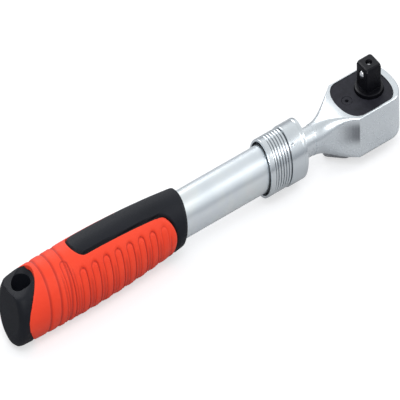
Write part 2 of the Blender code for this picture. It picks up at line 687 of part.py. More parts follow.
# ================================================================ drive
def make_drive():
    """Gear, shoulder, square and journal of the drive, bored for the release pin and the ball."""
    outline = moved(gear_outline(0), DRIVE_X)
    drive = prism("drive_anvil", outline, AXIS_Z + GEAR_BOTTOM, AXIS_Z + GEAR_TOP, group=PARTS)
    shoulder = upright("shoulder", [(SHOULDER_TOP, 0), (SHOULDER_TOP, SHOULDER_RADIUS - 0.0008),
                                    (SHOULDER_TOP - 0.0006, SHOULDER_RADIUS), (0, SHOULDER_RADIUS), (0, 0)],
                       steps=36)
    combine(drive, shoulder, "UNION")
    journal_end = -HEAD_BOTTOM + 0.0002
    journal = upright("journal", [(0, 0), (0, JOURNAL_RADIUS), (journal_end, JOURNAL_RADIUS),
                                  (journal_end, 0)])
    combine(drive, journal, "UNION")
    half = SQUARE / 2
    square = box("square", (DRIVE_X - half, -half, AXIS_Z), (DRIVE_X + half, half, AXIS_Z + SQUARE_TIP))
    bevel(square, SQUARE_EDGE)
    combine(drive, square, "UNION")
    combine(drive, cylinder("pin_bore", PIN_RADIUS + GAP, -FAR, FAR, segments=20))
    combine(drive, cylinder("button_bore", BUTTON_RADIUS + GAP, -FAR, SPRING_TOP + GAP, segments=28))
    clip_low = -HEAD_BOTTOM + CLIP_INSET
    clip_groove = cylinder("clip_groove", CLIP_RADIUS + GAP, clip_low - GAP,
                           clip_low + CLIP_THICKNESS + GAP, segments=28)
    combine(drive, clip_groove)
    lip = half - 0.00045
    cross = turned("ball_bore", [(FAR, 0), (FAR, SOCKET_BALL_RADIUS - 0.00008),
                                 (lip, SOCKET_BALL_RADIUS - 0.00008), (lip, SOCKET_BALL_RADIUS + GAP),
                                 (0, SOCKET_BALL_RADIUS + GAP), (0, 0)],
                   "X", (DRIVE_X, 0, SOCKET_BALL_Z), steps=20)
    cross.rotation_euler = (0, -math.pi / 2, 0)
    combine(drive, cross)
    return finish(drive, BLACK_OXIDE, 0.5, 0.38)


def make_release():
    """Push button, release pin, return spring, retaining clip and the ball that holds a socket."""
    end = -HEAD_BOTTOM - BUTTON_PROUD
    recess = BUTTON_RECESS
    button = upright("release_button",
                     [(FLANGE_TOP, PIN_RADIUS + GAP), (FLANGE_TOP, BUTTON_RADIUS),
                      (FLANGE_BOTTOM, BUTTON_RADIUS), (FLANGE_BOTTOM, BUTTON_STEM_RADIUS),
                      (end + 0.0008, BUTTON_STEM_RADIUS), (end, BUTTON_STEM_RADIUS - 0.0008), (end, 0),
                      (recess, 0), (recess, PIN_RADIUS + GAP)],
                     steps=24, group=PARTS, ring=True)
    finish(button, STEEL, 1.0, 0.3)
    ball_z = SOCKET_BALL_Z - AXIS_Z
    cone_top = ball_z + GAP
    groove = PIN_RADIUS - 0.0012
    cone_end = cone_top - PIN_CONE_LENGTH
    groove_end = cone_end - 0.0012
    pin_top = SQUARE_TIP - PIN_BELOW_TIP
    pin = upright("release_pin",
                  [(pin_top, 0), (pin_top, PIN_RADIUS - 0.0005), (pin_top - 0.0005, PIN_RADIUS),
                   (cone_top, PIN_RADIUS), (cone_end, groove), (groove_end, groove),
                   (groove_end - 0.0012, PIN_RADIUS), (recess + GAP, PIN_RADIUS), (recess + GAP, 0)],
                  steps=18, group=PARTS)
    finish(pin, STEEL, 1.0, 0.25)

    def standing(along, across, back):
        return (DRIVE_X + across, back, AXIS_Z + along)

    spring = coil("release_spring", BUTTON_RADIUS - 0.0009, SPRING_WIRE, FLANGE_TOP + 0.0002,
                  SPRING_TOP - 0.0002, 4, standing, 11)
    finish(spring, STEEL, 1.0, 0.35)
    clip_low = -HEAD_BOTTOM + CLIP_INSET
    clip = upright("button_clip",
                   [(clip_low + CLIP_THICKNESS, BUTTON_STEM_RADIUS + GAP),
                    (clip_low + CLIP_THICKNESS, CLIP_RADIUS), (clip_low, CLIP_RADIUS),
                    (clip_low, BUTTON_STEM_RADIUS + GAP)], steps=24, group=PARTS, ring=True)
    finish(clip, STEEL, 1.0, 0.4)
    socket_ball_x = DRIVE_X - SQUARE / 2 - SOCKET_BALL_PROUD + SOCKET_BALL_RADIUS
    socket_ball = ball("socket_ball", SOCKET_BALL_RADIUS, (socket_ball_x, 0, SOCKET_BALL_Z), 10)
    finish(socket_ball, CHROME, 1.0, 0.12)


def make_washer():
    """The thrust washer under the gear."""
    low = FLOOR_Z + GAP
    outer = GEAR_RADIUS - 0.0002
    washer = upright("thrust_washer", [(low + WASHER_THICKNESS, JOURNAL_RADIUS + GAP),
                                       (low + WASHER_THICKNESS, outer), (low, outer),
                                       (low, JOURNAL_RADIUS + GAP)], steps=28, group=PARTS, ring=True)
    return finish(washer, (0.45, 0.33, 0.14), 1.0, 0.4)


# ================================================================ pawl and reversing lever
def axis_empty(name, x, turn):
    """An empty on an upright joint axis; the pieces that turn with it are its children."""
    pivot = bpy.data.objects.new(name, None)
    collection(PARTS).objects.link(pivot)
    pivot.location = (x, 0, AXIS_Z)
    pivot.rotation_euler = (0, 0, turn)
    return pivot


def local_pin(name, radius, x=0.0, steps=24):
    """An upright cutter in the frame of a joint's empty."""
    return turned(name, [(FAR, 0), (FAR, radius), (-FAR, radius), (-FAR, 0)], "Z", (x, 0, 0), steps)


def make_pawl():
    """The double-ended pawl, drawn in its middle position about its pivot and then rocked."""
    pivot = axis_empty("pawl_axis", PAWL_X, PAWL_ROCK / 2)
    low = GEAR_BOTTOM
    half = PAWL_HALF_LENGTH
    outline = [(PAWL_BACK, PAWL_BACK_HALF), (PAWL_BACK, -PAWL_BACK_HALF), (PAWL_SHOULDER, -half),
               (PAWL_FRONT, -half), (PAWL_FRONT, half), (PAWL_SHOULDER, half)]
    pawl = prism("pawl", outline, low, PAWL_TOP, group=PARTS)
    teeth = moved(gear_outline(RUN), -PAWL_PIVOT_FROM_DRIVE)
    tools = [local_pin("plunger_hollow", PLUNGER_REACH + GAP, LEVER_FROM_DRIVE - PAWL_PIVOT_FROM_DRIVE, 32),
             local_pin("pawl_eye", PAWL_PIN_RADIUS + PIN_FIT, 0, 12)]
    relief = local_pin("tooth_relief", GEAR_RADIUS + PAWL_RELIEF, -PAWL_PIVOT_FROM_DRIVE, 48)
    middle = box("between_teeth", (-FAR, -PAWL_SPAN_HALF, -2 * FAR), (FAR, PAWL_SPAN_HALF, 2 * FAR))
    combine(relief, middle, "INTERSECT")
    tools += [relief, middle]
    for side, label in ((1, "left"), (-1, "right")):
        gear = prism("meshing_gear_" + label, turned_about(teeth, side * PAWL_ROCK / 2, 0), low - 0.01,
                     PAWL_TOP + 0.01)
        near, far = sorted((0.0, -side * FAR))
        other_half = box("gear_half_" + label, (-FAR, near, -FAR), (FAR, far, FAR))
        combine(gear, other_half)
        tools += [gear, other_half]
    for piece in [pawl] + tools:
        piece.parent = pivot
    for tool in tools:
        if not tool.name.startswith(("gear_half", "between")):
            combine(pawl, tool)
    finish(pawl, STEEL, 1.0, 0.4)
    pin_low = -HEAD_BOTTOM + 0.0004
    pin_high = POCKET_TOP + PAWL_PIN_DEPTH
    pin = upright("pawl_pin", [(pin_high, 0), (pin_high, PAWL_PIN_RADIUS), (pin_low, PAWL_PIN_RADIUS),
                               (pin_low, 0)], x=PAWL_X, steps=12, group=PARTS)
    return finish(pin, STEEL, 1.0, 0.3)


def teardrop():
    """The lever's outline about its axis: a disc, and a smaller tip toward the handle."""
    lean = math.asin((LEVER_DISC_RADIUS - LEVER_TIP_RADIUS) / LEVER_REACH)
    points = []
    start = math.pi / 2 + lean
    for index in range(17):
        angle = start - (math.pi + 2 * lean) * index / 16
        points.append((LEVER_DISC_RADIUS * math.cos(angle), LEVER_DISC_RADIUS * math.sin(angle)))
    for index in range(9):
        angle = -start - (math.pi - 2 * lean) * index / 8
        along = LEVER_TIP_RADIUS * math.cos(angle) - LEVER_REACH
        points.append((along, LEVER_TIP_RADIUS * math.sin(angle)))
    return points


def make_lever():
    """Reversing lever with its shaft, seal, plunger and spring, hung on an empty on the shaft's axis."""
    pivot = axis_empty("lever_axis", LEVER_X, LEVER_REST)
    top = -HEAD_BOTTOM - GAP
    seal_z = -HEAD_BOTTOM + SEAL_HEIGHT
    seal_root = LEVER_SHAFT_RADIUS - SEAL_GROOVE_DEPTH
    lever = prism("reverse_lever", teardrop(), top - LEVER_THICKNESS, top, group=PARTS)
    bevel(lever, LEVER_EDGE, 1)
    shaft = turned("lever_shaft",
                   [(LEVER_SHAFT_TOP, 0), (LEVER_SHAFT_TOP, LEVER_SHAFT_RADIUS),
                    (seal_z + SEAL_GROOVE_HALF, LEVER_SHAFT_RADIUS), (seal_z + SEAL_GROOVE_HALF, seal_root),
                    (seal_z - SEAL_GROOVE_HALF, seal_root), (seal_z - SEAL_GROOVE_HALF, LEVER_SHAFT_RADIUS),
                    (top - 0.002, LEVER_SHAFT_RADIUS), (top - 0.002, 0)], "Z", steps=24)
    combine(lever, shaft, "UNION")
    plunger_z = PLUNGER_HEIGHT
    hole = turned("plunger_bore", [(FAR, 0), (FAR, PLUNGER_RADIUS + PIN_FIT),
                                   (PLUNGER_HOLE_END, PLUNGER_RADIUS + PIN_FIT), (PLUNGER_HOLE_END, 0)],
                  "X", (0, 0, plunger_z), steps=16)
    combine(lever, hole)
    finish(lever, STEEL, 1.0, 0.3)
    seal_middle = seal_root + SEAL_WIRE_RADIUS + 0.0002
    section = []
    for step in range(8):
        angle = math.pi / 2 - math.tau * step / 8
        section.append((seal_z + SEAL_WIRE_RADIUS * math.sin(angle),
                        seal_middle + SEAL_WIRE_RADIUS * math.cos(angle)))
    seal = turned("lever_o_ring", section, "Z", steps=12, group=PARTS, ring=True)
    finish(seal, RUBBER, 0.0, 0.7)
    plunger = turned("detent_plunger", [(PLUNGER_REACH, 0), (PLUNGER_REACH - 0.0003, 0.0008),
                                        (PLUNGER_REACH - 0.0010, PLUNGER_RADIUS),
                                        (PLUNGER_REAR, PLUNGER_RADIUS), (PLUNGER_REAR, 0)],
                     "X", (0, 0, plunger_z), steps=16, group=PARTS)
    finish(plunger, STEEL, 1.0, 0.25)

    def lying(along, across, up):
        return (along, across, plunger_z + up)

    spring = coil("detent_spring", DETENT_SPRING_RADIUS, DETENT_WIRE, PLUNGER_HOLE_END + 0.0002,
                  PLUNGER_REAR - 0.0002, 3, lying, 8)
    finish(spring, STEEL, 1.0, 0.35)
    for piece in (lever, shaft, hole, seal, plunger, spring):
        piece.parent = pivot


# ================================================================ tube and lock
def make_tube():
    """The outer tube, grooved for the snap ring."""
    ring_x = SNAP_RING_X
    groove = TUBE_RADIUS - SNAP_RING_SEAT
    half = SNAP_WIRE / 2 + 0.0001
    tube = on_axis("outer_tube",
                   [(TUBE_FRONT_X, TUBE_BORE), (TUBE_FRONT_X, TUBE_RADIUS - 0.0003),
                    (TUBE_FRONT_X - 0.0003, TUBE_RADIUS), (ring_x + half, TUBE_RADIUS),
                    (ring_x + half, groove), (ring_x - half, groove), (ring_x - half, TUBE_RADIUS),
                    (TUBE_REAR_X, TUBE_RADIUS), (TUBE_REAR_X, TUBE_BORE)],
                   steps=36, group=PARTS, ring=True)
    finish(tube, CHROME, 1.0, 0.3)
    points = []
    centre = groove + GAP + SNAP_WIRE / 2
    count = 30
    for index in range(count + 1):
        angle = math.radians(130 + SNAP_RING_ARC * index / count)
        points.append((ring_x, centre * math.cos(angle), AXIS_Z + centre * math.sin(angle)))
    finish(wire("snap_ring", points, SNAP_WIRE / 2, 1), STEEL, 1.0, 0.35)


def make_bushing():
    """The bushing in the tube's mouth: it guides the bar and carries the two lock balls."""
    front = SLEEVE_FRONT_X - BUSHING_BEHIND_FRONT
    mouth = TUBE_FRONT_X + GAP
    ring_front = STOP_RING_FRONT_X
    ring_rear = ring_front - STOP_RING_THICKNESS - 2 * GAP
    groove = TUBE_RADIUS - STOP_RING_SEAT
    spigot = TUBE_BORE - GAP
    bushing = on_axis("lock_bushing",
                      [(front, BUSHING_BORE), (front, TUBE_RADIUS - 0.0004), (front - 0.0004, TUBE_RADIUS),
                       (ring_front, TUBE_RADIUS), (ring_front, groove), (ring_rear, groove),
                       (ring_rear, TUBE_RADIUS), (mouth, TUBE_RADIUS), (mouth, spigot),
                       (SPIGOT_REAR_X, spigot), (SPIGOT_REAR_X, BUSHING_BORE)],
                      steps=32, group=PARTS, ring=True)
    for side, label in ((1, "left"), (-1, "right")):
        key = on_axis("bushing_key_" + label, [(front, 0), (front, BUSHING_BORE + 0.0004),
                                               (SPIGOT_REAR_X, BUSHING_BORE + 0.0004), (SPIGOT_REAR_X, 0)])
        flat = BAR_FLAT + RUN
        near, far = sorted((-side * FAR, side * flat))
        combine(key, box("key_side_" + label, (SPIGOT_REAR_X - 1, near, -FAR), (front + 1, far, 2 * FAR)))
        combine(bushing, key, "UNION")
    hole = cylinder("lock_ball_holes", LOCK_BALL_RADIUS + RUN, -FAR, FAR, BALL_X, 20)
    combine(bushing, hole)
    finish(bushing, STEEL, 1.0, 0.35)
    for label, side in (("top", 1), ("bottom", -1)):
        lock_ball = ball("lock_ball_" + label, LOCK_BALL_RADIUS,
                         (BALL_X, 0, AXIS_Z + side * BALL_CENTRE_RADIUS), 7)
        finish(lock_ball, CHROME, 1.0, 0.15)
    middle = (ring_front + ring_rear) / 2
    low = middle - STOP_RING_THICKNESS / 2
    high = middle + STOP_RING_THICKNESS / 2
    stop = on_axis("stop_ring", [(high, groove + GAP), (high, STOP_RADIUS - GAP), (low, STOP_RADIUS - GAP),
                                 (low, groove + GAP)], steps=32, group=PARTS, ring=True)
    finish(stop, STEEL, 1.0, 0.4)


def sleeve_radius(x):
    """The sleeve's outer radius without its ribs: its plain front band is a little larger."""
    return SLEEVE_REAR_RADIUS if x < BOLD_GROOVE_X + 0.5 * RIB_HALF_WIDTH else SLEEVE_FRONT_RADIUS


def make_sleeve():
    """The ribbed collar: spring chamber, land over the balls, ramp, relief and stop, front to rear."""
    front = SLEEVE_FRONT_X
    rear = SLEEVE_REAR_X
    ramp_rear = BALL_X
    ramp_front = BALL_X + RAMP_LENGTH
    stop_step = STOP_RING_FRONT_X - STOP_RING_THICKNESS - 3 * GAP
    chamber_front = SLEEVE_SHOULDER_X
    chamber_radius = TUBE_RADIUS + SNAP_WIRE + GAP
    outer = [(front, STOP_RADIUS), (front, SLEEVE_FRONT_RADIUS - SLEEVE_CHAMFER),
             (front - SLEEVE_CHAMFER, SLEEVE_FRONT_RADIUS)]
    for index in range(SLEEVE_RIBS + 1):
        x = BOLD_GROOVE_X - RIB_PITCH * index
        outer += [(x + RIB_HALF_WIDTH, sleeve_radius(x + RIB_HALF_WIDTH)),
                  (x, SLEEVE_REAR_RADIUS - RIB_DEPTH),
                  (x - RIB_HALF_WIDTH, SLEEVE_REAR_RADIUS)]
    outer += [(rear + SLEEVE_CHAMFER, SLEEVE_REAR_RADIUS), (rear, SLEEVE_REAR_RADIUS - SLEEVE_CHAMFER)]
    bore = [(rear, chamber_radius), (chamber_front, chamber_radius), (chamber_front, LAND_RADIUS),
            (ramp_rear, LAND_RADIUS), (ramp_front, RELIEF_RADIUS), (stop_step, RELIEF_RADIUS),
            (stop_step, STOP_RADIUS)]
    sleeve = on_axis("lock_sleeve", outer + bore, steps=30, group=PARTS, ring=True)
    finish(sleeve, CHROME, 1.0, 0.25)

    def round_tube(along, across, up):
        return (along, across, AXIS_Z + up)

    spring_rear = SNAP_RING_X + SNAP_WIRE / 2 + 0.0001
    spring = coil("sleeve_spring", TUBE_RADIUS + 0.0004 + SLEEVE_SPRING_WIRE / 2, SLEEVE_SPRING_WIRE / 2,
                  spring_rear, chamber_front - 0.0002, 3, round_tube, 18)
    finish(spring, STEEL, 1.0, 0.35)


def make_tail():
    """Nylon guide, washer and screw on the bar's rear end, and the plug in the tube."""
    slide = TUBE_BORE - GAP
    guide_front = BAR_STEP_X - GAP
    guide_rear = guide_front - GUIDE_LENGTH + GAP
    guide = on_axis("tail_guide", [(guide_front, GUIDE_SEAT_RADIUS + GAP), (guide_front, slide),
                                   (guide_rear, slide), (guide_rear, GUIDE_SEAT_RADIUS + GAP)],
                    steps=28, group=PARTS, ring=True)
    finish(guide, NYLON, 0.0, 0.5)
    washer_front = guide_rear - GAP
    washer_rear = washer_front - TAIL_WASHER_THICKNESS
    bore = TAIL_SCREW_RADIUS + GAP
    washer = on_axis("tail_washer", [(washer_front, bore), (washer_front, slide - 0.0006),
                                     (washer_rear, slide - 0.0006), (washer_rear, bore)],
                     steps=24, group=PARTS, ring=True)
    finish(washer, STEEL, 1.0, 0.4)
    head_front = washer_rear - GAP
    head_rear = head_front - TAIL_SCREW_HEAD
    tip = head_front + TAIL_SCREW_LENGTH - 0.001
    screw = on_axis("tail_screw", [(tip, 0), (tip, TAIL_SCREW_RADIUS), (head_front, TAIL_SCREW_RADIUS),
                                   (head_front, 2 * TAIL_SCREW_RADIUS - 0.0004),
                                   (head_rear, 2 * TAIL_SCREW_RADIUS - 0.0010), (head_rear, 0)],
                    steps=18, group=PARTS)
    finish(screw, STEEL, 1.0, 0.35)
    flange = TUBE_REAR_X - GAP
    plug = on_axis("tube_plug", [(PLUG_FRONT_X, 0), (PLUG_FRONT_X, slide - 0.0004), (flange, slide),
                                 (flange, TUBE_RADIUS), (flange - PLUG_FLANGE, TUBE_RADIUS),
                                 (flange - PLUG_FLANGE, 0)],
                   steps=28, group=PARTS)
    finish(plug, RUBBER, 0.0, 0.6)


# ================================================================ grip
def grip_radius(x):
    """The grip's radius along X: thickest near the butt, tapering more toward the front."""
    thickest = BUTT_X + GRIP_THICKEST_FROM_BUTT
    if x > thickest:
        way = (x - thickest) / (GRIP_FRONT_X - thickest)
        return GRIP_RADIUS - GRIP_FRONT_TAPER * way * way
    way = (thickest - x) / GRIP_THICKEST_FROM_BUTT
    return GRIP_RADIUS - GRIP_REAR_TAPER * way * way


def grip_profile(inset, rear, front, count=9):
    """Outer side of the grip, moved inward by the inset, from its front to its rear."""
    points = []
    for index in range(count + 1):
        x = front + (rear - front) * index / count
        points.append((x, grip_radius(x) - inset))
    return points


def rounded_corner(x, radius, size, rear):
    """Three points that round a grip's end."""
    inward = 1 if rear else -1
    corner = [(x + inward * size, radius), (x + inward * 0.3 * size, radius - 0.3 * size),
              (x, radius - size)]
    return corner if rear else corner[::-1]


def grip_blank(name, group):
    """The grip's full outer shape with a flat belly and a sloping butt, before it is parted in two."""
    front = rounded_corner(GRIP_FRONT_X, grip_radius(GRIP_FRONT_X), GRIP_FRONT_ROUND, False)
    rear = rounded_corner(BUTT_X, grip_radius(BUTT_X), GRIP_END_ROUND, True)
    side = grip_profile(0, BUTT_X + GRIP_END_ROUND, GRIP_FRONT_X - GRIP_FRONT_ROUND)
    profile = [(GRIP_FRONT_X, 0)] + front[:2] + side + rear[1:] + [(BUTT_X, 0)]
    blank = on_axis(name, profile, steps=32, group=group)
    combine(blank, box(name + "_belly", (BUTT_X - FAR, -FAR, -2 * FAR), (GRIP_FRONT_X + FAR, FAR, 0)))
    reach = SLOPE_HOLLOW_RADIUS
    centre_x = HOLE_X - reach * math.sin(SLOPE_ANGLE)
    centre_z = AXIS_Z + SLOPE_Z + reach * math.cos(SLOPE_ANGLE)
    bpy.ops.mesh.primitive_cylinder_add(vertices=96, radius=reach, depth=4 * FAR,
                                        location=(centre_x, 0, centre_z), rotation=(math.pi / 2, 0, 0))
    slope = bpy.context.object
    slope.name = name + "_slope"
    combine(blank, place(slope, CUTTERS))
    return blank


def panel_outline(shrink, count=12):
    """Plan of the orange cover: its rear edge bulges round the hang hole."""
    points = []
    for index in range(count + 1):
        y = BUTT_BULGE_HALF_WIDTH * (1 - 2 * index / count)
        lift = abs(1 - (y / BUTT_BULGE_HALF_WIDTH) ** 2) ** 0.75
        points.append((BUTT_X + BUTT_SIDE + (BUTT_TOP - BUTT_SIDE) * lift + shrink, y))
    side = BUTT_X + BUTT_SIDE + shrink
    return [(GRIP_FRONT_X, -FAR), (GRIP_FRONT_X, FAR), (side, FAR)] + points + [(side, -FAR)]


def pad_outline(grow):
    """Plan of the black pad on top: round behind, narrowing a little to the front ring."""
    rear = rounded_end(BUTT_X + PAD_REAR_FROM_BUTT + PAD_ROUND, PAD_ROUND + grow, PAD_HALF_WIDTH + grow, -1)
    front = GRIP_FRONT_X + FAR
    narrow = PAD_FRONT_HALF_WIDTH + grow
    return rear + [(GRIP_FRONT_X - PANEL_FRONT_BEHIND_RING, narrow), (front, narrow), (front, -narrow),
                   (GRIP_FRONT_X - PANEL_FRONT_BEHIND_RING, -narrow)]


def ring_outline(grow, count=16):
    """Side view of the black front ring: it follows the orange panels' round front ends."""
    centre_x = GRIP_FRONT_X - PANEL_FRONT_BEHIND_RING - PANEL_ROUND
    centre_z = AXIS_Z + PANEL_CENTRE_Z
    radius = PANEL_ROUND - grow
    points = []
    for index in range(count + 1):
        angle = math.pi / 2 - math.pi * index / count
        points.append((centre_x + radius * math.cos(angle), centre_z + radius * math.sin(angle)))
    front = GRIP_FRONT_X + FAR
    return points + [(centre_x, -2 * FAR), (front, -2 * FAR), (front, 3 * FAR), (centre_x, 3 * FAR)]


def cover_space(name, shrink):
    """Where the orange cover lies: a band under the surface, less the pad, the ring and the butt."""
    outer = -FAR / 5
    inner = COVER_THICKNESS - shrink
    rear = BUTT_X + 0.002
    front = GRIP_FRONT_X - 0.002
    profile = [(front, grip_radius(front) - inner), (front, grip_radius(front) - outer)]
    profile += [(rear, grip_radius(rear) - outer), (rear, grip_radius(rear) - inner)]
    profile += grip_profile(inner, rear, front)[::-1][1:-1]
    band = on_axis(name, profile, steps=32, ring=True)
    high = 3 * FAR
    combine(band, prism(name + "_panel", panel_outline(shrink), -FAR, high), "INTERSECT")
    combine(band, prism(name + "_pad", pad_outline(shrink), AXIS_Z, high))
    combine(band, prism(name + "_ring", ring_outline(shrink), -FAR, FAR, "Y"))
    return band


def make_grip():
    """Black core with butt, pad and front ring, and the orange cover moulded into its recess."""
    core = grip_blank("grip_core", PARTS)
    combine(core, cover_space("cover_recess", 0))
    bore_end = BUTT_X + BORE_DEPTH_FROM_BUTT
    bore = TUBE_RADIUS + GAP
    combine(core, on_axis("grip_bore", [(GRIP_FRONT_X + 0.01, 0), (GRIP_FRONT_X + 0.01, bore),
                                        (bore_end, bore), (bore_end, 0)], steps=36))
    surface = SLOPE_Z
    rim = HOLE_RIM
    flare = 2 * FAR
    hole = upright("hang_hole", [(flare, 0), (flare, HOLE_RADIUS + flare - surface + rim),
                                 (surface - rim, HOLE_RADIUS), (-FAR, HOLE_RADIUS), (-FAR, 0)],
                   x=HOLE_X, steps=32)
    combine(core, hole)
    finish(core, GRIP_BLACK, 0.0, 0.45)
    cover = grip_blank("grip_cover", PARTS)
    combine(cover, cover_space("cover_body", GAP), "INTERSECT")
    finish(cover, GRIP_ORANGE, 0.0, 0.5)


def main():
    """Clears the scene and builds every piece."""
    for obj in list(bpy.data.objects):
        bpy.data.objects.remove(obj)
    make_head()
    make_plate()
    make_screw()
    make_drive()
    make_release()
    make_washer()
    make_pawl()
    make_lever()
    make_tube()
    make_bushing()
    make_sleeve()
    make_tail()
    make_grip()


main()
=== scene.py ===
import json
import math

import bmesh
import bpy
from mathutils import Matrix, Vector


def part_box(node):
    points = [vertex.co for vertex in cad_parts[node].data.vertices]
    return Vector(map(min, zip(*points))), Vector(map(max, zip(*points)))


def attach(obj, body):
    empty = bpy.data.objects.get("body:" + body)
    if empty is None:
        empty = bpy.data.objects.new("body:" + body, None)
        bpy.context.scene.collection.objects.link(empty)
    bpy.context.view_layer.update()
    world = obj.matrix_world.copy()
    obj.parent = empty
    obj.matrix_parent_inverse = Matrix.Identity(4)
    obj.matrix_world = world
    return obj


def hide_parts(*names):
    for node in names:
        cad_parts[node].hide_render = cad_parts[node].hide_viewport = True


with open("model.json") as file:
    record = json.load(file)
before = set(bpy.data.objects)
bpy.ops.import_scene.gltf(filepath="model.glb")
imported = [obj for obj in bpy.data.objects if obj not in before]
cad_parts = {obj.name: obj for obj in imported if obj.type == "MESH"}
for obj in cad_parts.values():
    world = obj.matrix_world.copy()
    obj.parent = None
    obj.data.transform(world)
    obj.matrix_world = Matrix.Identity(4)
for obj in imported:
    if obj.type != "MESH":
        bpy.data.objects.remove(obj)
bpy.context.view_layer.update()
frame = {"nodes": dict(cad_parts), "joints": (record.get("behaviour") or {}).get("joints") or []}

# ======================== places taken from the frame
BALL_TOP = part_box("lock_ball_top")
BALL_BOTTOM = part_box("lock_ball_bottom")
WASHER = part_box("thrust_washer")
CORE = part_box("grip_core")
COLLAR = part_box("lock_sleeve")
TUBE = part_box("outer_tube")
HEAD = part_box("ratchet_head")

AXIS_Z = (BALL_TOP[1].z + BALL_BOTTOM[0].z) / 2
DRIVE_X = (WASHER[0].x + WASHER[1].x) / 2
LEVER_X = next(joint["pos_m"][0] for joint in frame["joints"] if joint["name"] == "lever_turn")
BALL_X = (BALL_TOP[0].x + BALL_TOP[1].x) / 2
BUTT_X = CORE[0].x
GRIP_FRONT_X = CORE[1].x

# ======================== sizes shared with the CAD
# Heights are measured from the handle's axis, unless a name says otherwise.
GAP = 0.0003                    # between pieces that touch
FAR = 0.05                      # reach of a cutting shape past what it cuts

# head and neck
HEAD_WIDTH = 0.0368
HEAD_TOP = 0.0094
HEAD_BOTTOM = 0.0109
NOSE_REACH = 0.0192             # drive axis to nose
NOSE_START = 0.005
RIDGE_X = DRIVE_X - 0.021       # where the hollow flanks meet the flat sides
NECK_X = DRIVE_X - 0.050        # where the neck becomes the round bar
NECK_RADIUS = 0.0071
EDGE_TOP = 0.0009
EDGE_BOTTOM = 0.0026

# telescopic bar
BAR_RADIUS = 0.0068
BAR_FLAT = 0.0060
BAR_EDGE = 0.0006
BAR_INTO_NECK = 0.006
FLAT_AHEAD_OF_COLLAR = 0.0006
GROOVE_PITCH = 0.022
GROOVE_DEPTH = 0.00125
GROOVE_FLOOR_HALF = 0.001
LOCK_BALL_RADIUS = 0.0026
SEAT_RADIUS = 0.0050            # the tail guide's seat

# spaces inside the head
PLATE_WIDTH = 0.0336
PLATE_SPAN = (-0.0270, -0.0160, 0.0047, 0.0140)
PLATE_SEAT = 0.0065
TONGUE_SPAN = (0.010, 0.0163)   # slot for the plate's tongue, from the drive
TONGUE_HALF_WIDTH = 0.0043
TONGUE_ROOM = 0.0015
CAVITY_FLOOR = -0.0062
GEAR_SPACE = 0.0126
JOURNAL_BORE = 0.00825
LEVER_BORE = 0.0035
POCKET_AHEAD_OF_LEVER = 0.003
POCKET_BEHIND_DRIVE = 0.008
POCKET_HALF_WIDTH = 0.0094
POCKET_TOP = 0.0007
WINDOW_LENGTH = 0.004           # the detent plunger looks through it at the pawl
WINDOW_HALF_WIDTH = 0.0044
WINDOW_OVER_FLOOR = 0.0012
WINDOW_TOP = -0.0008
PAWL_PIN_BORE = 0.0011
PAWL_PIN_TOP = 0.0029
PAWL_X = DRIVE_X - 0.0144
SCREW_BORE = 0.00185
SCREW_BOTTOM = 0.0020
SCREW_X = DRIVE_X - 0.0190

# grip
GRIP_RADIUS = 0.0169
THICKEST_FROM_BUTT = 0.055
FRONT_TAPER = 0.0038
REAR_TAPER = 0.0012
GRIP_END_ROUND = 0.0050
GRIP_FRONT_ROUND = 0.0022
COVER_THICKNESS = 0.0020
PAD_HALF_WIDTH = 0.0091
PAD_X = BUTT_X + 0.0480 + PAD_HALF_WIDTH        # centre of the pad's round rear end
TUBE_END_X = BUTT_X + 0.0240
HOLE_X = BUTT_X + 0.0093
HOLE_RADIUS = 0.0066
HOLE_RIM = 0.0006
SLOPE_DEPTH = 0.0028
SLOPE_ANGLE = math.radians(22)
SLOPE_HOLLOW_RADIUS = 0.060
SLOPE_Z = GRIP_RADIUS - REAR_TAPER - SLOPE_DEPTH
BUTT_SIDE = 0.0040              # black butt, measured along the handle at its sides and on top
BUTT_TOP = 0.0174
BUTT_BULGE_HALF_WIDTH = 0.0162
PANEL_ROUND = 0.0152            # round front end of the orange, seen from the side
PANEL_CENTRE_Z = -0.0035
PANEL_X = GRIP_FRONT_X - 0.0098 - PANEL_ROUND

# tube and collar
TUBE_RADIUS = 0.0109
TUBE_BORE = 0.0090
SNAP_RING_AHEAD = 0.002         # ahead of the collar's rear face
SNAP_RING_SEAT = 0.0005
SNAP_GROOVE_HALF = 0.0006
COLLAR_REAR_RADIUS = 0.0134
COLLAR_FRONT_RADIUS = 0.0138
COLLAR_STOP_RADIUS = 0.0128
COLLAR_LAND_RADIUS = 0.0112
COLLAR_RELIEF_RADIUS = 0.0124
COLLAR_CHAMBER_RADIUS = 0.0122
STOP_STEP_BEHIND_FRONT = 0.0051
CHAMBER_BEHIND_BALL = 0.0048
RAMP_LENGTH = 0.0048

# ======================== looks
NECK_INSET = 0.00005            # the neck's last section lies this far inside the head
NECK_OVERLAP = 0.004
NECK_RISE_END = 0.8             # share of the neck over which it grows to the head's height
NECK_SOFT_SPAN = 1.15           # how early its edges turn crisp
FLANK_CURVE = 1.9               # how late the neck spreads out to the head
TIP_RADIUS = 0.0070             # the square's tip is turned to a shallow cone
TIP_SLOPE = 0.0022
PAINTED_SHADE_LENGTH = 0.017            # painted shade: a dark reflection painted into the chrome's colour on the head's flanks behind the ridge
PAINTED_SHADE_MIDDLE = 0.0020
PAINTED_SHADE_HALF_HEIGHT = 0.0050
PAINTED_SHADE_EDGE = 1.4                # the band ends at this share of its half height
FLUTE_PITCH = 0.0097
FLUTE_COUNT = 9
FIRST_FLUTE_FROM_BUTT = 0.0382
FIRST_FLUTE_RISE = 0.0080       # the first flute starts higher, behind the pad
FIRST_FLUTE_GAP = 0.0028        # more room after the first flute
FLUTES_FADE_FROM_BUTT = 0.108
FLUTES_FADE_LENGTH = 0.02
FLUTES_FADE = 0.7
FLUTE_HALF_WIDTH = 0.0026
FLUTE_REACH = 0.008             # nothing of a flute is felt farther from its middle
FLUTE_LINE = 0.0006             # half width of the groove drawn round each flute
FLUTE_DEPTH = 0.00085
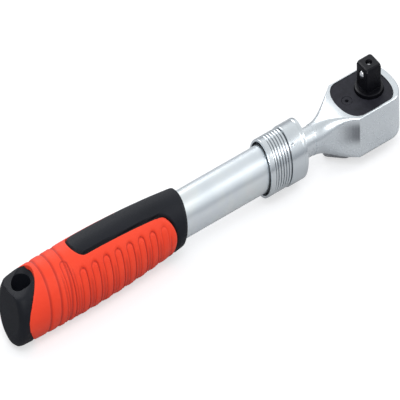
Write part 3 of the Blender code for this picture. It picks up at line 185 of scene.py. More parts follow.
FLUTE_REAR_SHARE = 0.75         # the rear line of a flute is shallower
FLUTE_TOP_BELOW_PAD = 0.0052
FLUTE_LEAN = 0.16
HOOP_COUNT = 3
FIRST_HOOP_FROM_BUTT = 0.0215
HOOP_PITCH = 0.0086
HOOP_LEAN = FLUTE_LEAN / 2
HOOP_LINE = 0.0012
HOOP_DEPTH = 0.0007
SCALLOP_DEPTH = 0.0005          # the hollow between two flutes
SCALLOP_RISE = 0.01
SCALLOP_SIDE = 0.002
SCALLOP_END = 0.6 * FLUTE_PITCH
SCALLOP_END_SOFT = 0.001
PATTERN_FROM_EDGE = 0.0005      # the pattern fades out at the orange's edge
PATTERN_FADE = 0.0015
EDGE_REACH = 0.0010             # rounding of the orange skin's edge
EDGE_DROP = 0.0006
SLOPE_EDGE = 0.0016             # rounding between the butt's slope and its sides
SEAM_WIDTH = 0.0011             # groove in the black along the pad's edge
SEAM_DEPTH = 0.0010
SEAM_FLAT = 0.45                # flat share of its width
BUTT_SEAM_SHARE = 0.4           # the seam along the butt is shallower
SHELL_INSET = 0.002             # orange skin and its recess, short of the grip's ends
SHELL_END = 0.08                # share of a shell at each end that has closer sections
SHELL_END_STEPS = 8
RECESS_PAST = 0.01              # the recess reaches past the grip's outside
COLLAR_RIBS = 6
RIBS_BEHIND = 0.0042            # plain band behind the ribs
RIBS_EDGE = 0.0002
RIB_PITCH = 0.0022
RIB_RADIUS = 0.0007
RIB_GROOVE = 0.0008
BOLD_HALF_WIDTH = 0.0006        # bold groove ahead of the ribs
BOLD_FLOOR = 0.0004
HAIRLINE_BEHIND_FRONT = 0.0027
HAIRLINE = 0.0003
DIMPLE_BEHIND_FRONT = 0.0109
DIMPLE_TURN = math.radians(44)
DIMPLE_RADIUS = 0.0013
DIMPLE_RISE = 0.0006            # the ball that presses it is centred over the surface
# painted shade: the collar's sunk bands, set by these sizes, get a darker colour
SUNK_DEPTH = 0.0003             # deeper than this under the ribs counts as sunk
SUNK_OVER_BORE = 0.0006
SUNK_FROM_REAR = 0.003
SUNK_FROM_FRONT = 0.001
COLLAR_EDGE = 0.0004
TUBE_EDGE = 0.0003
PLATE_EDGE = 0.00035
LEVER_EDGE = 0.0003
SOFT_EDGE = 0.0002
TURNED_EDGE = 0.00015
FINE_EDGE = 0.0001
NO_EDGE = 0

# ======================== colours and studio
CHROME_DARK = (0.67, 0.71, 0.735)
CHROME_LIGHT = (0.75, 0.785, 0.80)
MIX_FIRST, MIX_SECOND, MIX_RESULT = 6, 7, 2     # colour sockets of a mix node
STRETCH = 1.59                  # upright stretch of the picture plane
VIEW_AZIMUTH = math.radians(-36.1)
VIEW_ELEVATION = math.radians(29.7)
VIEW_CENTRE = Vector((-0.00197, 0.0006, 0.0176))
VIEW_WIDTH = 0.272
VIEW_DISTANCE = 10.0
CLIP_NEAR = 0.1
CLIP_FAR = 40.0
LAMP_AIM = Vector((0, 0, 0.015))
LAMPS = (                       # name, place, size, power
    ("key_box", (-0.5, -0.6, 0.9), (0.7, 0.5), 5.0),
    ("side_box", (0.8, -0.3, 0.5), (0.4, 0.6), 1.6),
    ("back_box", (0.1, 0.9, 0.7), (0.9, 0.4), 3.0),
)
SKY = ((0.0, (0.30, 0.31, 0.33)), (0.22, (0.42, 0.44, 0.47)),
       (0.55, (0.80, 0.82, 0.84)), (1.0, (0.62, 0.64, 0.66)))
SEEN_BACKDROP = (0.97, 0.97, 0.97)
FLOOR_HALF = 20
FLOOR_DROP = 0.0002             # the floor lies just under the handle
FLOOR_COLOUR = (0.46, 0.46, 0.47, 1)
FLOOR_GLOW_GIVEN = 0.04         # the light that it gives
FLOOR_GLOW_SEEN = 0.62          # how it looks to the camera


# ======================== node trees for finishes
def finish(name, **values):
    """A new material, the tree that feeds it, and its shader with these sockets set."""
    material = bpy.data.materials.new(name)
    material.use_nodes = True
    tree = material.node_tree
    shader = tree.nodes["Principled BSDF"]
    for key, value in values.items():
        shader.inputs[key.replace("_", " ")].default_value = value
    return material, tree, shader


def add(tree, kind, **values):
    """A node with its settings: inputs by name with underscores, anything else as a property."""
    node = tree.nodes.new(kind)
    for key, value in values.items():
        title = key.replace("_", " ")
        if title in node.inputs:
            node.inputs[title].default_value = value
        else:
            setattr(node, key, value)
    return node


def fed(tree, kind, **feeds):
    """A node whose inputs, by name with underscores, are fed by other nodes' outputs."""
    node = tree.nodes.new(kind)
    for key, source in feeds.items():
        tree.links.new(source, node.inputs[key.replace("_", " ")])
    return node


def object_space(tree, scale=(1, 1, 1)):
    """Object coordinates, scaled."""
    coordinates = tree.nodes.new("ShaderNodeTexCoord")
    mapping = fed(tree, "ShaderNodeMapping", Vector=coordinates.outputs["Object"])
    mapping.inputs["Scale"].default_value = scale
    return mapping.outputs["Vector"]


def noise(tree, scale, detail, roughness=0.55, stretch=(1, 1, 1)):
    """Fractal noise as a number, its space scaled by the stretch."""
    node = add(tree, "ShaderNodeTexNoise", Scale=scale, Detail=detail, Roughness=roughness)
    tree.links.new(object_space(tree, stretch), node.inputs["Vector"])
    return node.outputs["Fac"]


def ramp(tree, value, *stops):
    """A colour ramp over a number: (position, colour) stops."""
    node = tree.nodes.new("ShaderNodeValToRGB")
    points = node.color_ramp.elements
    while len(points) < len(stops):
        points.new(0.5)
    for point, (position, colour) in zip(points, stops):
        point.position = position
        point.color = (*colour, 1) if isinstance(colour, tuple) else (colour, colour, colour, 1)
    tree.links.new(value, node.inputs["Fac"])
    return node.outputs["Color"]


def bump(tree, shader, height, distance, strength, before=None):
    """A bump on the shader's normal, on top of an earlier one."""
    node = add(tree, "ShaderNodeBump", Strength=strength, Distance=distance)
    tree.links.new(height, node.inputs["Height"])
    if before:
        tree.links.new(before, node.inputs["Normal"])
    tree.links.new(node.outputs["Normal"], shader.inputs["Normal"])
    return node.outputs["Normal"]


def mixed(tree, amount, first, second):
    """A mix of a linked colour with a plain one: an amount of 1 gives the plain one."""
    node = tree.nodes.new("ShaderNodeMix")
    node.data_type = "RGBA"
    tree.links.new(amount, node.inputs["Factor"])
    tree.links.new(first, node.inputs[MIX_FIRST])
    node.inputs[MIX_SECOND].default_value = (*second, 1)
    return node.outputs[MIX_RESULT]


def coated(tree, shader, colour, roughness):
    """Feeds the shader's colour and roughness."""
    tree.links.new(colour, shader.inputs["Base Color"])
    tree.links.new(roughness, shader.inputs["Roughness"])


def stored_number(tree, name):
    """A number that the piece's mesh stores at its points."""
    return add(tree, "ShaderNodeAttribute", attribute_name=name).outputs["Fac"]


def toned(colour, tone):
    """A colour made lighter or darker."""
    return tuple(part * tone for part in colour)


def satin_chrome(name, grain, low, high, tone, painted_shade=None):
    """Satin chrome plate: bluish grey, with a fine blasted grain and cloudy sheen. A painted shade
    colour darkens the places that the piece marks, as painted shade broken into upright streaks."""
    material, tree, shader = finish(name, Metallic=1.0)
    broad = noise(tree, 55, 3)
    fine = noise(tree, 900, 5, stretch=grain)
    tint = ramp(tree, broad, (0.3, toned(CHROME_DARK, tone)), (0.7, toned(CHROME_LIGHT, tone)))
    # painted shade: darker chrome colour where the piece marks it, in upright streaks
    if painted_shade:
        lines = noise(tree, 420, 2, stretch=(1, 1, 0.04))
        amount = add(tree, "ShaderNodeMath", operation="MULTIPLY")
        tree.links.new(stored_number(tree, "painted_shade"), amount.inputs[0])
        tree.links.new(ramp(tree, lines, (0.3, 0.8), (0.7, 1.0)), amount.inputs[1])
        tint = mixed(tree, amount.outputs["Value"], tint, painted_shade)
    roughness = ramp(tree, fine, (0.25, low), (0.75, high))
    coated(tree, shader, tint, roughness)
    first = bump(tree, shader, fine, 0.000006, 0.25)
    bump(tree, shader, broad, 0.0002, 0.06, first)
    return material


def machined(name, dark, light, low, high, rings=(1, 1, 1)):
    """Turned or ground steel: tool marks and a thin film of oil."""
    material, tree, shader = finish(name, Metallic=1.0)
    marks = noise(tree, 1400, 3, stretch=rings)
    stains = noise(tree, 160, 4)
    coated(tree, shader, ramp(tree, stains, (0.3, dark), (0.7, light)),
           ramp(tree, marks, (0.3, low), (0.7, high)))
    bump(tree, shader, marks, 0.00002, 0.6)
    return material


def blackened(name, dark, light, metallic, low, high, grain):
    """Black oxide or phosphate on steel: mottled, with a fine etched grain."""
    material, tree, shader = finish(name, Metallic=metallic, Specular_IOR_Level=0.22)
    clouds = noise(tree, 240, 6, 0.65)
    etched = noise(tree, grain, 4)
    coated(tree, shader, ramp(tree, clouds, (0.32, dark), (0.68, light)),
           ramp(tree, etched, (0.3, low), (0.7, high)))
    bump(tree, shader, etched, 0.00004, 0.7)
    return material


def moulded(name, dark, light, low, high, cell, depth, sheen=0.0, specular=0.4, hollow=None):
    """Moulded plastic or soft rubber with a spark-eroded texture and faint flow marks. A hollow colour
    is painted shade: it darkens the grooves whose depth the piece carries."""
    material, tree, shader = finish(name, Sheen_Weight=sheen, Sheen_Roughness=0.6,
                                    Specular_IOR_Level=specular)
    flow = noise(tree, 70, 3, stretch=(0.35, 1, 1))
    grain = noise(tree, cell, 3, 0.6)
    pits = add(tree, "ShaderNodeTexVoronoi", Scale=cell * 0.6)
    tree.links.new(object_space(tree), pits.inputs["Vector"])
    tint = ramp(tree, flow, (0.3, dark), (0.7, light))
    # painted shade: the grooves darken by the depth that the piece stores
    if hollow:
        amount = ramp(tree, stored_number(tree, "hollow"), (0.25, 0.0), (0.95, 1.0))
        tint = mixed(tree, amount, tint, hollow)
    coated(tree, shader, tint, ramp(tree, grain, (0.3, low), (0.7, high)))
    first = bump(tree, shader, grain, depth, 0.6)
    bump(tree, shader, pits.outputs["Distance"], depth, 0.4, first)
    return material


def make_finishes():
    """Every finish on the handle, by the name of its use."""
    return {
        # the head's last colour is painted shade, a dark reflection painted on its flanks
        "head": satin_chrome("head_satin_chrome", (1, 1, 1), 0.26, 0.32, 1.2, (0.20, 0.21, 0.23)),
        "tube": satin_chrome("tube_satin_chrome", (0.05, 1, 1), 0.28, 0.36, 1.32),
        # the collar's last colour is painted shade in its sunk bands under the ribs
        "collar": satin_chrome("collar_satin_chrome", (1, 1, 1), 0.18, 0.26, 1.18,
                               (0.26, 0.27, 0.285)),
        "ball": machined("polished_ball", (0.80, 0.81, 0.82), (0.90, 0.90, 0.91), 0.05, 0.12),
        "steel": machined("turned_steel", (0.36, 0.37, 0.39), (0.52, 0.53, 0.55), 0.22, 0.42,
                          (4, 0.2, 0.2)),
        "button": machined("turned_button", (0.50, 0.51, 0.53), (0.66, 0.67, 0.69), 0.18, 0.34,
                           (1, 1, 0.1)),
        "wire": machined("drawn_wire", (0.10, 0.10, 0.11), (0.22, 0.22, 0.24), 0.25, 0.4),
        "bronze": machined("sintered_bronze", (0.42, 0.27, 0.11), (0.56, 0.38, 0.17), 0.35, 0.55),
        "drive": blackened("black_oxide", (0.003, 0.003, 0.005), (0.008, 0.008, 0.011), 0.3,
                           0.26, 0.42, 1600),
        "plate": blackened("grey_phosphate", (0.010, 0.010, 0.015), (0.022, 0.022, 0.031), 0.15,
                           0.5, 0.68, 2200),
        "nylon": moulded("natural_nylon", (0.66, 0.63, 0.55), (0.74, 0.71, 0.63), 0.35, 0.5,
                         900, 0.00002),
        "rubber": moulded("seal_rubber", (0.012, 0.012, 0.012), (0.022, 0.022, 0.022), 0.5, 0.7,
                          700, 0.00004),
        # the black's last colour is painted shade in the seam groove round the pad, ring and butt
        "black_grip": moulded("grip_black_plastic", (0.0052, 0.0064, 0.0100),
                              (0.0082, 0.0096, 0.0145), 0.46, 0.62, 1500, 0.00004,
                              0.0, 0.22, (0.001, 0.001, 0.0015)),
        # the orange's last colour is painted shade in the grooves of its flutes and hoops
        "orange_grip": moulded("grip_orange_rubber", (0.93, 0.052, 0.017), (0.98, 0.070, 0.025),
                               0.46, 0.62, 1100, 0.00004, 0.04, 0.25, (0.50, 0.024, 0.011)),
    }


# ======================== mesh tools
def linked(name, data):
    """A new object in the scene: a piece, a lamp, or a shape used only to cut or join."""
    obj = bpy.data.objects.new(name, data)
    bpy.context.scene.collection.objects.link(obj)
    return obj


def piece(name, mesh, material, body, stands_for):
    """A finished piece of the handle on its body."""
    obj = linked(name, mesh)
    mesh.materials.clear()
    mesh.materials.append(material)
    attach(obj, body)
    if stands_for:
        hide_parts(*stands_for)


def to_mesh(work, name, recalculate=True):
    """A mesh from a bmesh, with its faces pointing outwards."""
    if recalculate:
        bmesh.ops.recalc_face_normals(work, faces=work.faces)
    mesh = bpy.data.meshes.new(name)
    work.to_mesh(mesh)
    work.free()
    return mesh


def soften(points, radius, closed=False):
    """Rounds the corners of a flat path."""
    steps = 3
    result = []
    for index, corner in enumerate(points):
        here = Vector(corner)
        if not closed and index in (0, len(points) - 1):
            result.append(here)
            continue
        before = Vector(points[index - 1])
        after = Vector(points[(index + 1) % len(points)])
        start = here + (before - here).normalized() * min(radius, (before - here).length * 0.45)
        end = here + (after - here).normalized() * min(radius, (after - here).length * 0.45)
        for step in range(steps + 1):
            way = step / steps
            result.append(start.lerp(here, way).lerp(here.lerp(end, way), way))
    return result


def lathe(name, profile, segments=96, ring=False, upright_at=None):
    """A turned shape in place: the profile's (along, radius) points turned round the handle's axis, or
    round an upright axis at an (x, y), where along is a height over the handle's axis."""
    work = bmesh.new()
    rows = []
    for along, radius in profile:
        row = []
        for index in range(segments if radius else 1):
            angle = math.tau * index / segments
            side, up = radius * math.cos(angle), radius * math.sin(angle)
            if upright_at is None:
                place = (along, side, AXIS_Z + up)
            else:
                place = (upright_at[0] + side, upright_at[1] + up, AXIS_Z + along)
            row.append(work.verts.new(place))
        rows.append(row)
    joined(work, rows + rows[:1] if ring else rows)
    return to_mesh(work, name)


def prism(name, outline, low, high):
    """A flat (x, y) outline extruded between two heights."""
    work = bmesh.new()
    bottom, top = [[work.verts.new((x, y, level)) for x, y in outline] for level in (low, high)]
    joined(work, [bottom, top])
    work.faces.new(bottom[::-1])
    work.faces.new(top)
    return to_mesh(work, name)


def block(name, low, high):
    """A box between two corners."""
    outline = [(low[0], low[1]), (high[0], low[1]), (high[0], high[1]), (low[0], high[1])]
    return prism(name, outline, low[2], high[2])


def shaped(name, mesh, steps, solver="EXACT"):
    """A mesh after boolean steps: (operation, mesh) pairs, applied in order."""
    body = linked(name, mesh)
    helpers = []
    for index, (operation, other) in enumerate(steps):
        helper = linked(f"{name}_tool_{index}", other)
        helpers.append(helper)
        modifier = body.modifiers.new(f"step {index}", "BOOLEAN")
        modifier.operation = operation
        modifier.solver = solver
        modifier.object = helper
    result = applied(body)
    for helper in helpers:
        bpy.data.objects.remove(helper)
    return result


def applied(obj):
    """The mesh of an object after its modifiers; the object itself is deleted."""
    graph = bpy.context.evaluated_depsgraph_get()
    mesh = bpy.data.meshes.new_from_object(obj.evaluated_get(graph))
    mesh.name = obj.name
    bpy.data.objects.remove(obj)
    return mesh


def softened(mesh, width, angle):
    """A mesh with narrow rounded edges."""
    obj = linked(mesh.name + "_edges", mesh)
    modifier = obj.modifiers.new("edges", "BEVEL")
    modifier.width = width
    modifier.segments = 2
    modifier.limit_method = "ANGLE"
    modifier.angle_limit = math.radians(angle)
    return applied(obj)


def smooth(mesh, angle=35):
    """Smooth shading with sharp edges above the angle, weighted by face size."""
    mesh.shade_smooth()
    mesh.set_sharp_from_angle(angle=math.radians(angle))
    obj = linked(mesh.name + "_shading", mesh)
    modifier = obj.modifiers.new("normals", "WEIGHTED_NORMAL")
    modifier.keep_sharp = True
    return applied(obj)


def joined(work, rows):
    """Faces between rows of points: each row runs round the shape, or is a single point."""
    for first, second in zip(rows, rows[1:]):
        count = max(len(first), len(second))
        for index in range(count):
            after = (index + 1) % count
            corners = [first[index % len(first)], first[after % len(first)],
                       second[after % len(second)], second[index % len(second)]]
            corners = list(dict.fromkeys(corners))
            if len(corners) > 2:
                work.faces.new(corners)


def stored(mesh, name, value_at):
    """The mesh with a number stored at each of its points, which its finish reads."""
    store = mesh.attributes.new(name, "FLOAT", "POINT")
    for index, vertex in enumerate(mesh.vertices):
        store.data[index].value = value_at(vertex.co)
    return mesh


def cad_copy(node):
    """A merged copy of a CAD node's mesh as a bmesh, its flat faces whole again."""
    work = bmesh.new()
    work.from_mesh(frame["nodes"][node].data)
    bmesh.ops.remove_doubles(work, verts=work.verts, dist=0.000002)
    bmesh.ops.dissolve_limit(work, angle_limit=math.radians(0.5), verts=work.verts, edges=work.edges)
    return work


def refined(node, material, body, edge, angle=35):
    """A CAD node with its facets smoothed and its edges softly rounded."""
    name = node + "_finished"
    mesh = to_mesh(cad_copy(node), name, recalculate=False)
    if edge:
        mesh = softened(mesh, edge, angle)
    piece(name, smooth(mesh, angle), material, body, (node,))


# ======================== head
def rounded_end(centre, reach, half_width, toward, count=48, exponent=2.2):
    """One rounded end of a flat outline, from its +Y side to its -Y side when it points to +X."""
    points = []
    for index in range(count + 1):
        angle = math.pi / 2 - math.pi * index / count
        along = abs(math.cos(angle)) ** (2 / exponent)
        across = math.copysign(abs(math.sin(angle)) ** (2 / exponent), math.sin(angle))
        points.append((centre + toward * reach * along, toward * half_width * across))
    return points


def smooth_step(value):
    """Eases from 0 to 1."""
    value = min(max(value, 0.0), 1.0)
    return value * value * (3 - 2 * value)


def neck_section(x, half, top, bottom, round_top, round_bottom, per_corner=15, between=12):
    """A rounded rectangle across the handle, as points from +Y over the top."""
    points = []
    for quarter, (side, up) in enumerate(((1, 1), (-1, 1), (-1, -1), (1, -1))):
        radius = min(round_top if up > 0 else round_bottom, half)
        height = top if up > 0 else bottom
        for index in range(per_corner):
            angle = math.pi / 2 * (quarter + (index + 0.5) / per_corner)
            y = side * (half - radius) + radius * math.cos(angle)
            z = up * (height - radius) + radius * math.sin(angle)
            points.append((x, y, AXIS_Z + z))
    filled = []
    for index, point in enumerate(points):
        filled.append(point)
        after = points[(index + 1) % len(points)]
        if index % per_corner == per_corner - 1:
            for step in range(1, between):
                filled.append(tuple(Vector(point).lerp(Vector(after), step / between)))
    return filled


def neck_mesh(count=40):
    """The neck between the round bar and the head, lofted through rounded sections."""
    sections = []
    for index in range(count + 1):
        way = index / count
        half = NECK_RADIUS + (HEAD_WIDTH / 2 - NECK_INSET - NECK_RADIUS) * way ** FLANK_CURVE
        rise = smooth_step(way / NECK_RISE_END)
        top = NECK_RADIUS + (HEAD_TOP - NECK_INSET - NECK_RADIUS) * rise
        bottom = NECK_RADIUS + (HEAD_BOTTOM - NECK_INSET - NECK_RADIUS) * rise
        soft = smooth_step(NECK_SOFT_SPAN * (1 - way))
        round_top = EDGE_TOP + (NECK_RADIUS - EDGE_TOP) * soft
        round_bottom = EDGE_BOTTOM + (NECK_RADIUS - EDGE_BOTTOM) * soft
        x = NECK_X + (RIDGE_X - NECK_X) * way
        sections.append(neck_section(x, half, top, bottom, round_top, round_bottom))
    sections.append(neck_section(RIDGE_X + NECK_OVERLAP, HEAD_WIDTH / 2 - NECK_OVERLAP,
                                 HEAD_TOP - NECK_OVERLAP / 2, HEAD_BOTTOM - NECK_OVERLAP / 2,
                                 EDGE_TOP, EDGE_BOTTOM))
    work = bmesh.new()
    rows = [[work.verts.new(point) for point in section] for section in sections]
    joined(work, rows)
    work.faces.new(rows[0][::-1])
    work.faces.new(rows[-1])
    return to_mesh(work, "neck")


def head_block_mesh():
    """The head from the ridge forward, with a soft lower edge and a crisp upper one."""
    half = HEAD_WIDTH / 2
    low, high = AXIS_Z - HEAD_BOTTOM, AXIS_Z + HEAD_TOP
    nose = rounded_end(DRIVE_X + NOSE_START, NOSE_REACH - NOSE_START, half, 1, 56, 2.4)
    mesh = prism("head_block", nose + [(RIDGE_X, -half), (RIDGE_X, half)], low, high)
    work = bmesh.new()
    work.from_mesh(mesh)
    close = 1e-6
    for level, width, segments in ((low, EDGE_BOTTOM, 7), (high, EDGE_TOP, 4)):
        rim = []
        for edge in work.edges:
            on_level = all(abs(vertex.co.z - level) < close for vertex in edge.verts)
            on_ridge = all(abs(vertex.co.x - RIDGE_X) < close for vertex in edge.verts)
            if on_level and not on_ridge:
                rim.append(edge)
        bmesh.ops.bevel(work, geom=rim, offset=width, segments=segments, profile=0.5, affect="EDGES")
    return to_mesh(work, "head_block")


def bar_mesh():
    """The telescopic bar with its locking grooves, and flats along both sides."""
    front = NECK_X + BAR_INTO_NECK
    step_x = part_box("tail_guide")[1].x + GAP
    end_x = HEAD[0].x
    floor = BAR_RADIUS - GROOVE_DEPTH
    profile = [(front, 0), (front, BAR_RADIUS)]
    x = BALL_X
    while x - LOCK_BALL_RADIUS >= step_x:
        profile += [(x + LOCK_BALL_RADIUS, BAR_RADIUS), (x + GROOVE_FLOOR_HALF, floor),
                    (x - GROOVE_FLOOR_HALF, floor), (x - LOCK_BALL_RADIUS, BAR_RADIUS)]
        x -= GROOVE_PITCH
    profile += [(step_x, BAR_RADIUS), (step_x, SEAT_RADIUS), (end_x, SEAT_RADIUS), (end_x, 0)]
    bar = lathe("bar", soften(profile, BAR_EDGE), 64)
    cuts = []
    for side in (1, -1):
        near, away = sorted((side * BAR_FLAT, side * FAR))
        flat = block("flat", (step_x, near, 0), (COLLAR[1].x + FLAT_AHEAD_OF_COLLAR, away, FAR))
        cuts.append(("DIFFERENCE", flat))
    return shaped("bar_with_flats", bar, cuts)


def plate_outline(grow):
    """The cover plate's outline: straight sides between two rounded ends."""
    rear, flat_rear, flat_front, front = [DRIVE_X + place for place in PLATE_SPAN]
    half = PLATE_WIDTH / 2 + grow
    return (rounded_end(flat_front, front - flat_front + grow, half, 1)
            + rounded_end(flat_rear, flat_rear - rear + grow, half, -1))


def upright_rod(name, radius, low, high, x, segments=48):
    """An upright cylinder between two heights over the handle's axis."""
    return lathe(name, [(high, 0), (high, radius), (low, radius), (low, 0)], segments, upright_at=(x, 0))


def head_painted_shade(point):
    """How much of the painted shade, a dark reflection painted into the chrome's colour behind the
    ridge, a point of the head shows, from 0 to 1.
    """
    behind = RIDGE_X - point.x
    if behind <= 0:
        return 0.0
    up = (point.z - AXIS_Z - PAINTED_SHADE_MIDDLE) / PAINTED_SHADE_HALF_HEIGHT
    return smooth_step((PAINTED_SHADE_LENGTH - behind) / PAINTED_SHADE_LENGTH) * smooth_step(PAINTED_SHADE_EDGE - abs(up))


def make_head(finishes):
    """Head, neck and telescopic bar in one chromed forging."""
    floor = AXIS_Z + CAVITY_FLOOR
    seat = AXIS_Z + PLATE_SEAT
    tongue_rear, tongue_front = [DRIVE_X + place for place in TONGUE_SPAN]
    steps = [
        ("UNION", neck_mesh()),
        ("UNION", bar_mesh()),
        ("DIFFERENCE", prism("plate_seat", plate_outline(GAP), seat, AXIS_Z + HEAD_TOP + FAR)),
        ("DIFFERENCE", block("tongue_slot", (tongue_rear, -TONGUE_HALF_WIDTH, seat),
                             (tongue_front, TONGUE_HALF_WIDTH, seat + TONGUE_ROOM))),
        ("DIFFERENCE", upright_rod("gear_space", GEAR_SPACE, CAVITY_FLOOR, HEAD_TOP, DRIVE_X, 72)),
        ("DIFFERENCE", upright_rod("journal_bore", JOURNAL_BORE, -FAR, 0, DRIVE_X, 72)),
        ("DIFFERENCE", block("pawl_pocket",
                             (LEVER_X + POCKET_AHEAD_OF_LEVER, -POCKET_HALF_WIDTH, floor),
                             (DRIVE_X - POCKET_BEHIND_DRIVE, POCKET_HALF_WIDTH, AXIS_Z + POCKET_TOP))),
        ("DIFFERENCE", block("plunger_window",
                             (LEVER_X, -WINDOW_HALF_WIDTH, floor + WINDOW_OVER_FLOOR),
                             (LEVER_X + WINDOW_LENGTH, WINDOW_HALF_WIDTH, AXIS_Z + WINDOW_TOP))),
        ("DIFFERENCE", upright_rod("lever_bore", LEVER_BORE, -FAR, POCKET_TOP, LEVER_X)),
        ("DIFFERENCE", upright_rod("pin_bore", PAWL_PIN_BORE, -FAR, PAWL_PIN_TOP, PAWL_X, 24)),
        ("DIFFERENCE", upright_rod("screw_bore", SCREW_BORE, SCREW_BOTTOM, HEAD_TOP, SCREW_X, 24)),
    ]
    mesh = smooth(shaped("head_forging", head_block_mesh(), steps), 32)
    # the head's flanks carry painted shade, a dark reflection painted into the chrome's colour
    piece("head_forging", stored(mesh, "painted_shade", head_painted_shade), finishes["head"], "bar",
          ("ratchet_head",))


def make_plate(finishes):
    """The dark cover plate with a soft edge, and its countersunk socket screw."""
    refined("cover_plate", finishes["plate"], "bar", PLATE_EDGE, 50)
    refined("cover_screw", finishes["plate"], "bar", TURNED_EDGE, 50)


# ======================== drive
def make_drive(finishes):
    """The blackened drive and the pieces of its quick release."""
    square = to_mesh(cad_copy("drive_anvil"), "drive_finished", recalculate=False)
    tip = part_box("drive_anvil")[1].z - AXIS_Z
    over = 0.001
    slope_bottom = tip - TIP_SLOPE
    outline = [(tip + over, 0), (tip + over, TIP_RADIUS - over), (slope_bottom, TIP_RADIUS + TIP_SLOPE),
               (slope_bottom, FAR), (-FAR, FAR), (-FAR, 0)]
    turned = lathe("turned_tip", outline, upright_at=(DRIVE_X, 0))
    square = softened(shaped("drive_finished", square, [("INTERSECT", turned)]), SOFT_EDGE, 40)
    piece("drive_finished", smooth(square, 40), finishes["drive"], "drive", ("drive_anvil",))
    refined("button_clip", finishes["wire"], "drive", FINE_EDGE, 40)
    refined("release_button", finishes["button"], "button", SOFT_EDGE, 40)
    refined("release_pin", finishes["ball"], "button", SOFT_EDGE, 30)


# ======================== tube and collar
def make_tube(finishes):
    """The satin tube and the wire ring in its groove."""
    front, rear = TUBE[1].x, TUBE[0].x
    ring_x = COLLAR[0].x + SNAP_RING_AHEAD
    ring_front, ring_rear = ring_x + SNAP_GROOVE_HALF, ring_x - SNAP_GROOVE_HALF
    floor = TUBE_RADIUS - SNAP_RING_SEAT
    profile = [(front, TUBE_BORE), (front, TUBE_RADIUS), (ring_front, TUBE_RADIUS), (ring_front, floor),
               (ring_rear, floor), (ring_rear, TUBE_RADIUS), (rear, TUBE_RADIUS), (rear, TUBE_BORE)]
    mesh = lathe("tube_finished", soften(profile, TUBE_EDGE, True), ring=True)
    piece("tube_finished", smooth(mesh), finishes["tube"], "handle", ("outer_tube",))
    refined("snap_ring", finishes["wire"], "handle", NO_EDGE)


def rib_tree(material):
    """Geometry nodes for a row of bead-shaped ribs round the handle's axis."""
    tree = bpy.data.node_groups.new("collar_ribs", "GeometryNodeTree")
    face = tree.interface
    face.new_socket("Geometry", in_out="OUTPUT", socket_type="NodeSocketGeometry")
    for label in ("First rib", "Pitch", "Ring radius", "Bead radius", "Axis height"):
        face.new_socket(label, in_out="INPUT", socket_type="NodeSocketFloat")
    face.new_socket("Ribs", in_out="INPUT", socket_type="NodeSocketInt")
    entry = tree.nodes.new("NodeGroupInput").outputs
    start = fed(tree, "ShaderNodeCombineXYZ", X=entry["First rib"], Z=entry["Axis height"])
    offset = fed(tree, "ShaderNodeCombineXYZ", X=entry["Pitch"])
    line = fed(tree, "GeometryNodeMeshLine", Count=entry["Ribs"],
               Start_Location=start.outputs["Vector"], Offset=offset.outputs["Vector"])
    ring = fed(tree, "GeometryNodeCurvePrimitiveCircle", Radius=entry["Ring radius"])
    ring.inputs["Resolution"].default_value = 96
    bead = fed(tree, "GeometryNodeCurvePrimitiveCircle", Radius=entry["Bead radius"])
    bead.inputs["Resolution"].default_value = 12
    swept = fed(tree, "GeometryNodeCurveToMesh", Curve=ring.outputs["Curve"],
                Profile_Curve=bead.outputs["Curve"])
    copies = fed(tree, "GeometryNodeInstanceOnPoints", Points=line.outputs["Mesh"],
                 Instance=swept.outputs["Mesh"])
    copies.inputs["Rotation"].default_value = (0, math.pi / 2, 0)
    real = fed(tree, "GeometryNodeRealizeInstances", Geometry=copies.outputs["Instances"])
    shade = fed(tree, "GeometryNodeSetShadeSmooth", Geometry=real.outputs["Geometry"])
    coat = fed(tree, "GeometryNodeSetMaterial", Geometry=shade.outputs["Geometry"])
    coat.inputs["Material"].default_value = material
    fed(tree, "NodeGroupOutput", Geometry=coat.outputs["Geometry"])
    return tree


def grown(name, tree, sizes):
    """The mesh that a geometry nodes tree makes with these named sizes."""
    obj = linked(name, bpy.data.meshes.new(name))
    modifier = obj.modifiers.new("tree", "NODES")
    modifier.node_group = tree
    for item in tree.interface.items_tree:
        if item.in_out == "INPUT":
            modifier[item.identifier] = sizes[item.name]
    bpy.context.view_layer.update()
    return applied(obj)


def collar_profile():
    """The collar's section: plain rear band, floor of the ribs, bold groove, front band, and bore."""
    rear, front = COLLAR[0].x, COLLAR[1].x
    ribs = rear + RIBS_BEHIND
    bold = ribs + RIB_PITCH * COLLAR_RIBS
    floor = COLLAR_REAR_RADIUS - RIB_GROOVE
    hairline = front - HAIRLINE_BEHIND_FRONT
    stop_step = front - STOP_STEP_BEHIND_FRONT
    chamber_front = BALL_X - CHAMBER_BEHIND_BALL
    return [
        (front, COLLAR_STOP_RADIUS), (front, COLLAR_FRONT_RADIUS),
        (hairline + HAIRLINE, COLLAR_FRONT_RADIUS), (hairline, COLLAR_FRONT_RADIUS - HAIRLINE),
        (hairline - HAIRLINE, COLLAR_FRONT_RADIUS),
        (bold + BOLD_HALF_WIDTH, COLLAR_FRONT_RADIUS), (bold + BOLD_FLOOR, floor - BOLD_FLOOR),
        (bold - BOLD_FLOOR, floor - BOLD_FLOOR), (bold - BOLD_HALF_WIDTH, floor),
        (ribs + RIBS_EDGE, floor), (ribs - RIBS_EDGE, COLLAR_REAR_RADIUS), (rear, COLLAR_REAR_RADIUS),
        (rear, COLLAR_CHAMBER_RADIUS), (chamber_front, COLLAR_CHAMBER_RADIUS),
        (chamber_front, COLLAR_LAND_RADIUS), (BALL_X, COLLAR_LAND_RADIUS),
        (BALL_X + RAMP_LENGTH, COLLAR_RELIEF_RADIUS), (stop_step, COLLAR_RELIEF_RADIUS),
        (stop_step, COLLAR_STOP_RADIUS),
    ]


